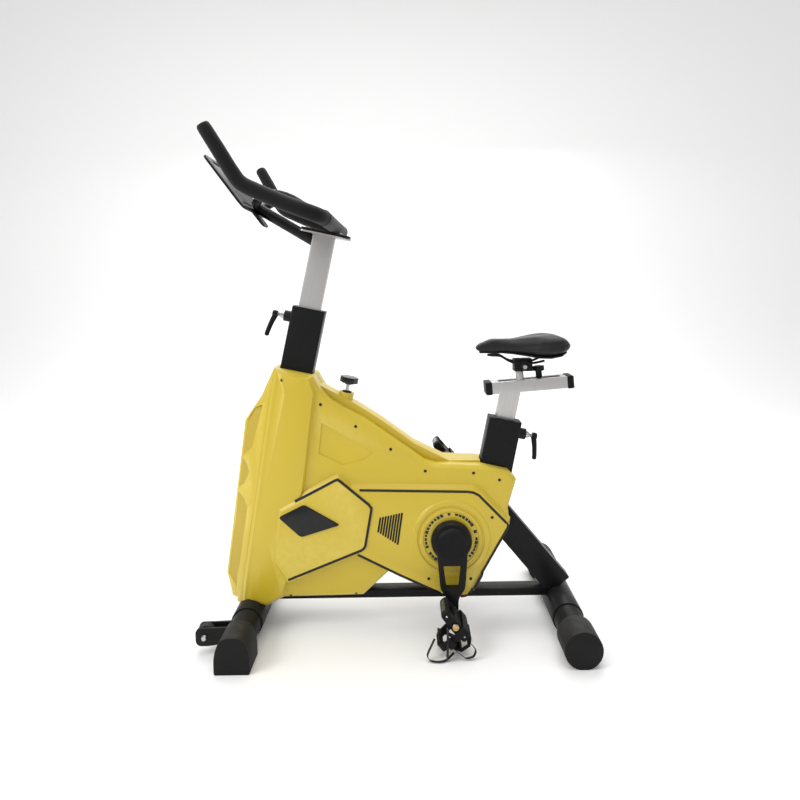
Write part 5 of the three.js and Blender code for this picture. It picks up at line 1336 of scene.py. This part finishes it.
@dataclass
class Seat:
    """Seat post with its rail, slider, clamp and the padded saddle."""

    refined: Refined
    base_share: float = 0.955
    clamp_nut: Point = (370.0, 31.5, 711.0)
    voxel: float = 5.0
    cap: float = 5.0
    pressure: float = 4.0
    frames: int = 20

    def build(self) -> None:
        """Makes every piece of the seat."""
        self.refined.show("seat_post", Motion.SEAT_POST, "silver_metal", Finishes.SILVER, 0.6, 2)
        self.refined.show("seat_slider", Motion.SLIDER, "silver_metal", Finishes.SILVER, 0.6, 2)
        self.refined.show("saddle_clamp", Motion.SLIDER, "black_plastic", Finishes.BLACK_PLASTIC, 1.0, 2)
        self.refined.show("saddle_rails", Motion.SADDLE, "black_paint", Finishes.BLACK_PAINT, 0.2, 1)
        self._base()
        self.refined.show("slider_knob", Motion.SLIDER_KNOB, "black_plastic", Finishes.BLACK_PLASTIC, 1.2, 3)
        self._rail_caps()
        self._bolts()
        ClampLever("seat", SEAT, 1, Motion.SEAT_CLAMP, "seat_clamp_lever").build()
        self._saddle()

    def _base(self) -> None:
        """The saddle's stiff base, drawn in a little so that the padding covers its edge."""
        base = self.refined.show("saddle_base", Motion.SADDLE, "black_plastic", Finishes.BLACK_PLASTIC, 1.0,
                                 2)
        low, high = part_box("saddle_base")
        middle = (low + high) / 2
        for vertex in base.data.vertices:
            offset = vertex.co - middle
            vertex.co = middle + Vector((offset.x * self.base_share, offset.y * self.base_share, offset.z))

    def _rail_caps(self) -> None:
        """The black plugs over the rail's two ends."""
        caps = []
        for end in (-1, 1):
            points = []
            for along in (end * 104, end * 123):
                for y, up in ((-27, -18), (27, -18), (27, 18), (-27, 18)):
                    points.append(SEAT_RAIL.at(along, y, up))
            faces = [(0, 1, 2, 3), (7, 6, 5, 4), (0, 4, 5, 1), (1, 5, 6, 2), (2, 6, 7, 3), (3, 7, 4, 0)]
            cap = Shapes.from_faces(f"cap_{end}", points, faces)
            Shapes.bevel(cap, 4.0, 4, 30.0)
            caps.append(cap)
        piece = Shapes.joined("rail_end_caps", caps)
        Shapes.smooth(piece, 40.0)
        mount(piece, Motion.SEAT_POST, Finishes.BLACK_PLASTIC)

    def _bolts(self) -> None:
        """The hexagon nuts on the saddle clamp."""
        x, half, z = self.clamp_nut
        places = [(x, y, z) for y in (-half, half)]
        tree = Patterns.screws(Finishes.STEEL)
        carrier = Patterns.points("clamp_nuts", places, [(0, -1, 0), (0, 1, 0)])
        nuts = tree.run("saddle_clamp_nuts", carrier, Radius=0.0075, Height=0.004, Seed=SEED)
        mount(nuts, Motion.SLIDER)

    def _saddle(self) -> None:
        """The padded top: remeshed, blown up a little as cloth, creased and stitched."""
        pad = Shapes.copy_of(self.refined.frame, "saddle_pad", "saddle_cushion")
        low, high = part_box("saddle_pad")
        middle = (low + high) / 2
        for vertex in pad.data.vertices:
            offset = vertex.co - middle
            vertex.co = middle + Vector((offset.x, offset.y * 0.985, offset.z))
        remesh = pad.modifiers.new("even", "REMESH")
        remesh.mode = "VOXEL"
        remesh.voxel_size = self.voxel * MM
        Shapes.apply(pad)
        self._inflate(pad)
        relax = pad.modifiers.new("relax", "SMOOTH")
        relax.factor = 0.5
        relax.iterations = 3
        Shapes.apply(pad)
        self._crease(pad, low, high)
        finer = pad.modifiers.new("finer", "SUBSURF")
        finer.levels = finer.render_levels = 1
        Shapes.apply(pad)
        Shapes.smooth(pad, 80.0)
        mount(pad, Motion.SADDLE, Finishes.LEATHER, ["saddle_pad"])
        self._stitches(pad, low, high)

    def _inflate(self, pad: bpy.types.Object) -> None:
        """Runs a short cloth simulation with pressure, its movement capped and its result kept.

        Args:
            pad: the remeshed pad.
        """
        scene = bpy.context.scene
        start = [v.co.copy() for v in pad.data.vertices]
        cloth = pad.modifiers.new("cloth", "CLOTH")
        cloth.settings.use_pressure = True
        cloth.settings.uniform_pressure_force = self.pressure
        cloth.settings.effector_weights.gravity = 0.0
        cloth.settings.quality = 5
        for step in range(1, self.frames + 1):
            scene.frame_set(step)
        Shapes.apply(pad)
        scene.frame_set(1)
        for vertex, place in zip(pad.data.vertices, start):
            move = vertex.co - place
            if move.length > self.cap * MM:
                vertex.co = place + move.normalized() * self.cap * MM

    def _crease(self, pad: bpy.types.Object, low: Vector, high: Vector) -> None:
        """Presses the long crease into each flank and keeps the underside flat."""
        floor = low.z + 0.004
        for vertex in pad.data.vertices:
            co = vertex.co
            share = (co.x - low.x) / (high.x - low.x)
            line = low.z + (0.020 + 0.020 * max(share - 0.35, 0) / 0.65)
            near = math.exp(-(((co.z - line) / 0.0042) ** 2)) * min(max((share - 0.25) / 0.2, 0), 1)
            if abs(co.y) > 0.02:
                co.y -= math.copysign(0.0026 * near, co.y)
            ridge = math.exp(-((co.y / 0.011) ** 2)) * min(max((share - 0.45) / 0.2, 0), 1)
            if co.z > middle_height(low, high):
                co.z -= 0.0042 * ridge
            co.z = max(co.z, floor - 0.002)
            co.z = min(co.z, high.z + 0.004)

    def _stitches(self, pad: bpy.types.Object, low: Vector, high: Vector) -> None:
        """Sews a line of stitches round the pad, over its lower edge."""
        tree = BVHTree.FromPolygons(
            [v.co.copy() for v in pad.data.vertices], [tuple(p.vertices) for p in pad.data.polygons]
        )
        places, facings = [], []
        for k in range(160):
            angle = 2 * math.pi * k / 160
            level = low.z + 0.0135
            middle = Vector(((low.x + high.x) / 2, 0, level))
            reach = Vector((0.19 * math.cos(angle), 0.12 * math.sin(angle), 0))
            hit, normal, _, _ = tree.ray_cast(middle + reach, -reach.normalized())
            if hit is not None:
                places.append(tuple(c / MM for c in hit))
                facings.append(tuple(normal))
        carrier = Patterns.points("stitch_line", places, facings)
        line = bmesh.new()
        line.from_mesh(carrier)
        line.verts.ensure_lookup_table()
        for i in range(len(line.verts)):
            line.edges.new((line.verts[i], line.verts[(i + 1) % len(line.verts)]))
        line.to_mesh(carrier)
        line.free()
        stitches = Patterns.studs(Finishes.THREAD).run(
            "saddle_stitches", carrier, Spacing=0.0052, Length=0.0038, Width=0.0009, Height=0.0008)
        mount(stitches, Motion.SADDLE)


def middle_height(low: Vector, high: Vector) -> float:
    """The height halfway up a box."""
    return (low.z + high.z) / 2


@dataclass
class Pedal:
    """One pedal with its cage, straps, buckle, reflectors and spindle end."""

    refined: Refined
    side: Side
    body: Motion
    start: float = 126.0
    crank_swing: float = 340.0
    width: float = 70.0
    hang: float = -130.4

    @property
    def lean(self) -> Leaning:
        """The pedal's own frame."""
        return Leaning(157, 253 + self.side.value * 170, self.hang)

    def _y(self, out: float) -> float:
        """The row frame's Y at a distance out from the middle plane."""
        return self.side.value * out

    def build(self) -> None:
        """Makes every piece of the pedal."""
        word = self.side.word
        self.refined.show(f"pedal_{word}", self.body, "black_plastic", Finishes.BLACK_PLASTIC, 1.2, 2)
        self.refined.show(f"toe_cage_{word}", self.body, "black_plastic", Finishes.BLACK_PLASTIC, 1.0, 2)
        self.refined.show(f"pedal_spindle_{word}", Motion.CRANK, "bright_steel", Finishes.STEEL, 0.3, 1)
        self._spindle_end(word)
        self._treads(word)
        self._reflectors(word)
        self._screws(word)
        self._straps(word)

    def _spindle_end(self, word: str) -> None:
        """The brass ring at the spindle's outer end, with a shallow recess where the dark socket is, in the
        same brass.
        """
        y = self._y(self.start + self.width + 3.1)
        base = self.lean.at(0, y, 0)
        axis = (0.0, float(self.side.value), 0.0)
        ring = Shapes.lathe(f"spindle_ring_{word}", [
            (0, 0), (7.6, 0), (7.8, 0.5), (7.8, 1.6), (7.2, 2.2), (4.4, 2.2), (4.0, 1.6), (4.0, 0.8),
            (0, 0.8)],
            base, axis, 32)
        mount(ring, Motion.CRANK, Finishes.BRASS)

    def _treads(self, word: str) -> None:
        """Rows of grip studs on the pedal's two long edges."""
        pieces = []
        for face in (-1, 1):
            for along in (-38.0, 38.0):
                line = [self.lean.at(along, self._y(self.start + 7 + t * (self.width - 14)), face * 10.8)
                        for t in (0.0, 1.0)]
                carrier = Patterns.points("tread_line", line, [self.lean.way(0, 0, face)] * 2)
                work = bmesh.new()
                work.from_mesh(carrier)
                work.verts.ensure_lookup_table()
                work.edges.new(work.verts)
                work.to_mesh(carrier)
                work.free()
                pieces.append(Patterns.studs(Finishes.BLACK_PLASTIC).run(
                    "tread", carrier, Spacing=0.007, Length=0.0042, Width=0.009, Height=0.0034))
        piece = Shapes.joined(f"pedal_treads_{word}", pieces)
        mount(piece, self.body, Finishes.BLACK_PLASTIC)

    def _reflectors(self, word: str) -> None:
        """The grey reflector blocks in the pedal's front and rear edges."""
        blocks = []
        for along in (-1, 1):
            points = []
            for a in (along * 43.6, along * 46.4):
                for out, up in ((12, -6), (58, -6), (58, 6), (12, 6)):
                    points.append(self.lean.at(a, self._y(self.start + out), up))
            faces = [(0, 1, 2, 3), (7, 6, 5, 4), (0, 4, 5, 1), (1, 5, 6, 2), (2, 6, 7, 3), (3, 7, 4, 0)]
            block = Shapes.from_faces(f"reflector_{along}", points, faces)
            Shapes.bevel(block, 1.0, 2, 30.0)
            blocks.append(block)
        mount(Shapes.joined(f"pedal_reflectors_{word}", blocks), self.body,
              Finishes.REFLECTOR)

    def _screws(self, word: str) -> None:
        """The two bright screws in the pedal's outer face."""
        places = [self.lean.at(a, self._y(self.start + self.width + 0.2), 0) for a in (-34, 34)]
        facing = (0.0, float(self.side.value), 0.0)
        tree = Patterns.screws(Finishes.STEEL)
        carrier = Patterns.points("pedal_screws", places, [facing] * 2)
        screws = tree.run(f"pedal_screws_{word}", carrier, Radius=0.0026, Height=0.001, Seed=SEED)
        mount(screws, self.body)

    def _straps(self, word: str) -> None:
        """The toe strap's band, its loose tail and lower loop, and the buckle."""
        front = self.lean
        half = self.width / 2
        middle = self.start + half
        bands = []
        ring = [(y, z) for y, z in (
            (-half - 1.8, -15.5), (half + 1.1, -15.5), (half + 1.1, 2), (half + 1.1, 20), (32, 50),
            (26, 67.5), (0, 69.5),
            (-26, 67.5), (-33, 50), (-half - 2.2, 20), (-half - 2.2, 2), (-half - 1.8, -15.5))]
        line = Shapes.curve([front.at(-21, self._y(middle - y), z) for y, z in ring], 6)
        across = [front.way(1, 0, 0)] * len(line)
        bands.append(Shapes.ribbon("band", line, 19.0, 1.8, across))
        strap = Shapes.joined(f"toe_strap_band_{word}", bands)
        mount(strap, self.body, Finishes.WEBBING, [f"toe_strap_{word}"])
        loose = [self._loose(word)]
        tail = Shapes.joined(f"toe_strap_tails_{word}", loose)
        mount(tail, self.body, Finishes.WEBBING)
        self._buckle(word)

    def _loose(self, word: str) -> bpy.types.Object:
        """The loose strap ends that hang from the cage, with the right side's raised by the crank's swing."""
        raised = 0.0 if self.side is Side.LEFT else self.crank_swing
        out = self.start + self.width
        runs = [
            [(104, out - 6, 50), (96, out + 1, 38), (88, out + 2, 22), (85, out + 4, 12), (91, out + 8, 4.5),
             (101, out + 11, 3.2), (116, out + 12, 3.2), (131, out + 9, 4.5), (141, out + 5, 10),
             (152, out + 1, 18)],
            [(137, out + 7, 84), (136, out + 9, 45), (134.8, out + 9, 9)],
            [(190, out - 8, 40), (201, out + 1, 33), (206, out + 3, 23), (201, out + 4, 11),
             (191, out + 4, 6.5),
             (180, out + 4, 6), (166, out + 2, 16), (153, out, 26), (140, out - 3, 39)],
        ]
        widths = [8.0, 12.0, 7.5]
        pieces = []
        for run, width in zip(runs, widths):
            line = Shapes.curve([(x, self._y(o), z + raised) for x, o, z in run], 7)
            across = [(0.35, float(self.side.value), 0.2)] * len(line)
            pieces.append(Shapes.ribbon("loose", line, width, 1.5, across))
        return Shapes.joined(f"loose_{word}", pieces)

    def _buckle(self, word: str) -> None:
        """A rounded black block for the metal-toothed buckle on the strap's outer side."""
        points = []
        for out in (self.width / 2 + 2.5, self.width / 2 + 9.0):
            for along, up in ((-34, 26), (-8, 26), (-8, 46), (-34, 46)):
                points.append(self.lean.at(along, self._y(self.start + self.width / 2 + out), up))
        faces = [(0, 1, 2, 3), (7, 6, 5, 4), (0, 4, 5, 1), (1, 5, 6, 2), (2, 6, 7, 3), (3, 7, 4, 0)]
        block = Shapes.from_faces(f"strap_buckle_{word}", points, faces)
        Shapes.bevel(block, 2.2, 3, 30.0)
        Shapes.smooth(block, 40.0)
        mount(block, self.body, Finishes.BLACK_PLASTIC)


@dataclass
class Chassis:
    """Floor frame, sleeves, brake, cranks and everything that the covers hide."""

    refined: Refined

    def build(self) -> None:
        """Makes the visible metalwork, its feet and wheels."""
        show = self.refined.show
        for node in ("bottom_rail", "rear_strut", "handlebar_sleeve", "seat_sleeve", "front_stabilizer",
                     "rear_stabilizer"):
            show(node, Motion.FRAME, "black_paint", Finishes.BLACK_PAINT, 1.4, 2)
        for node in ("handlebar_bushing", "seat_bushing", "brake_guide"):
            show(node, Motion.FRAME, "black_plastic", Finishes.BLACK_PLASTIC, 0.6, 2)
        for node in ("front_cap_left", "front_cap_right", "rear_cap_left", "rear_cap_right"):
            show(node, Motion.FRAME, "foot_rubber", Finishes.RUBBER, 3.2, 4)
        for side in Side:
            show(f"crank_arm_{side.word}", Motion.CRANK, "black_paint", Finishes.BLACK_PAINT, 1.2, 2)
            wheel = Motion.LEFT_WHEEL if side is Side.LEFT else Motion.RIGHT_WHEEL
            show(f"transport_wheel_{side.word}", wheel, "foot_rubber", Finishes.RUBBER, 1.0, 2)
            self._dust_cap(side)
            self._wheel_bolts(side)
        show("resistance_knob", Motion.KNOB, "black_plastic", Finishes.GLOSS_BLACK, 2.0, 3)

    def _dust_cap(self, side: Side) -> None:
        """The shallow round cap over the crank's bolt."""
        base = (157.0, side.value * 117.9, 253.0)
        profile = [(0, 0), (38, 0), (38, 1.4), (36.4, 2.6), (30, 3.0), (0, 3.2)]
        cap = Shapes.lathe(f"crank_dust_cap_{side.word}", profile, base, (0.0, float(side.value), 0.0), 56)
        mount(cap, Motion.CRANK, Finishes.BLACK_PLASTIC)

    def _wheel_bolts(self, side: Side) -> None:
        """The pale bolt heads on a transport wheel's fork."""
        places = [(-485.0, side.value * y, 47.0) for y in (131.4, 168.6)]
        facings = [(0.0, float(-side.value), 0.0), (0.0, float(side.value), 0.0)]
        carrier = Patterns.points("wheel_bolts", places, facings)
        bolts = Patterns.screws(Finishes.STEEL).run(
            f"wheel_bolts_{side.word}", carrier, Radius=0.0078, Height=0.0045, Seed=SEED)
        mount(bolts, Motion.FRAME)


@dataclass
class Studio:
    """A pale floor, soft lights and the camera."""

    camera: Point = (0.0434, -1.5904, 0.9437)
    pitch: float = 2.0
    roll: float = -0.843
    focal: float = 567.6
    centre: Flat = (405.7, 304.2)
    picture: float = 800.0
    sensor: float = 36.0

    def build(self) -> None:
        """Makes the camera, the lights and the floor."""
        self._camera()
        self._floor()
        self._light("key_left", (-2.6, -1.5, 2.4), 1.6, 52.0)
        self._light("key_right", (2.2, -2.6, 1.9), 2.2, 4.0)
        self._light("top", (0.0, 0.0, 3.4), 3.0, 44.0)
        self._light("back", (0.0, 2.0, 3.2), 3.0, 60.0)
        world = bpy.data.worlds.new("studio")
        world.use_nodes = True
        world.node_tree.nodes["Background"].inputs["Color"].default_value = (1.0, 1.0, 1.0, 1.0)
        world.node_tree.nodes["Background"].inputs["Strength"].default_value = 0.66
        bpy.context.scene.world = world
        bpy.context.scene.view_settings.view_transform = "Standard"

    def _camera(self) -> None:
        """Places the camera with the lens, tilt and shift of the view."""
        data = bpy.data.cameras.new("view")
        data.sensor_width = self.sensor
        data.lens = self.focal / self.picture * self.sensor
        data.shift_x = -(self.centre[0] - self.picture / 2) / self.picture
        data.shift_y = (self.centre[1] - self.picture / 2) / self.picture
        data.clip_end = 40.0
        camera = bpy.data.objects.new("view", data)
        camera.location = self.camera
        turn = Matrix.Rotation(math.radians(90 - self.pitch), 4, "X")
        roll = Matrix.Rotation(math.radians(self.roll), 4, "Z")
        camera.rotation_mode = "QUATERNION"
        camera.rotation_quaternion = (turn @ roll).to_quaternion()
        bpy.context.scene.collection.objects.link(camera)
        bpy.context.scene.camera = camera

    def _floor(self) -> None:
        """The pale floor, which curves up into the backdrop."""
        points, faces = [], []
        profile = [(-4.0, 0.0), (2.2, 0.0)]
        profile += [(2.2 + 1.2 * math.sin(a), 1.2 - 1.2 * math.cos(a)) for a in np.linspace(0.15,
                                                                                            math.pi / 2, 12)]
        profile.append((3.4, 5.0))
        for y, z in profile:
            points += [(-6000.0, y / MM, z / MM - 0.05), (6000.0, y / MM, z / MM - 0.05)]
        for i in range(len(profile) - 1):
            faces.append((2 * i, 2 * i + 1, 2 * i + 3, 2 * i + 2))
        floor = Shapes.from_faces("floor", points, faces)
        Shapes.smooth(floor, 60.0)
        paper = bpy.data.materials.new("pale_paper")
        paper.use_nodes = True
        shader = paper.node_tree.nodes["Principled BSDF"]
        shader.inputs["Base Color"].default_value = (0.95, 0.95, 0.95, 1.0)
        shader.inputs["Roughness"].default_value = 0.9
        floor.data.materials.append(paper)

    @staticmethod
    def _light(name: str, place: Point, size: float, power: float) -> None:
        """A square soft light that looks at the bike's middle."""
        data = bpy.data.lights.new(name, "AREA")
        data.size = size
        data.energy = power
        light = bpy.data.objects.new(name, data)
        light.location = place
        way = Vector((0.0, 0.0, 0.6)) - Vector(place)
        light.rotation_mode = "QUATERNION"
        light.rotation_quaternion = way.to_track_quat("-Z", "Y")
        bpy.context.scene.collection.objects.link(light)


def dress_nodes(frame: dict[str, Any]) -> None:
    """Gives every CAD node the finish of its slot."""
    for part in frame["record"]["subparts"]:
        node = frame["nodes"][part["node"]]
        node.data.materials.clear()
        node.data.materials.append(CAD_FINISHES[part["material_slot"]].material())


def main() -> None:
    """Loads the frame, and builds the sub-assemblies in order."""
    logging.basicConfig(level=logging.INFO, format="%(name)s: %(message)s")
    for leftover in list(bpy.data.objects):
        bpy.data.objects.remove(leftover)
    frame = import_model()
    studio = Studio()
    studio.build()
    dress_nodes(frame)
    refined = Refined(frame)
    Housing(refined).build()
    Chassis(refined).build()
    Cockpit(refined).build()
    Seat(refined).build()
    Pedal(refined, Side.LEFT, Motion.LEFT_PEDAL).build()
    Pedal(refined, Side.RIGHT, Motion.RIGHT_PEDAL).build()


if __name__ == "__main__":
    main()
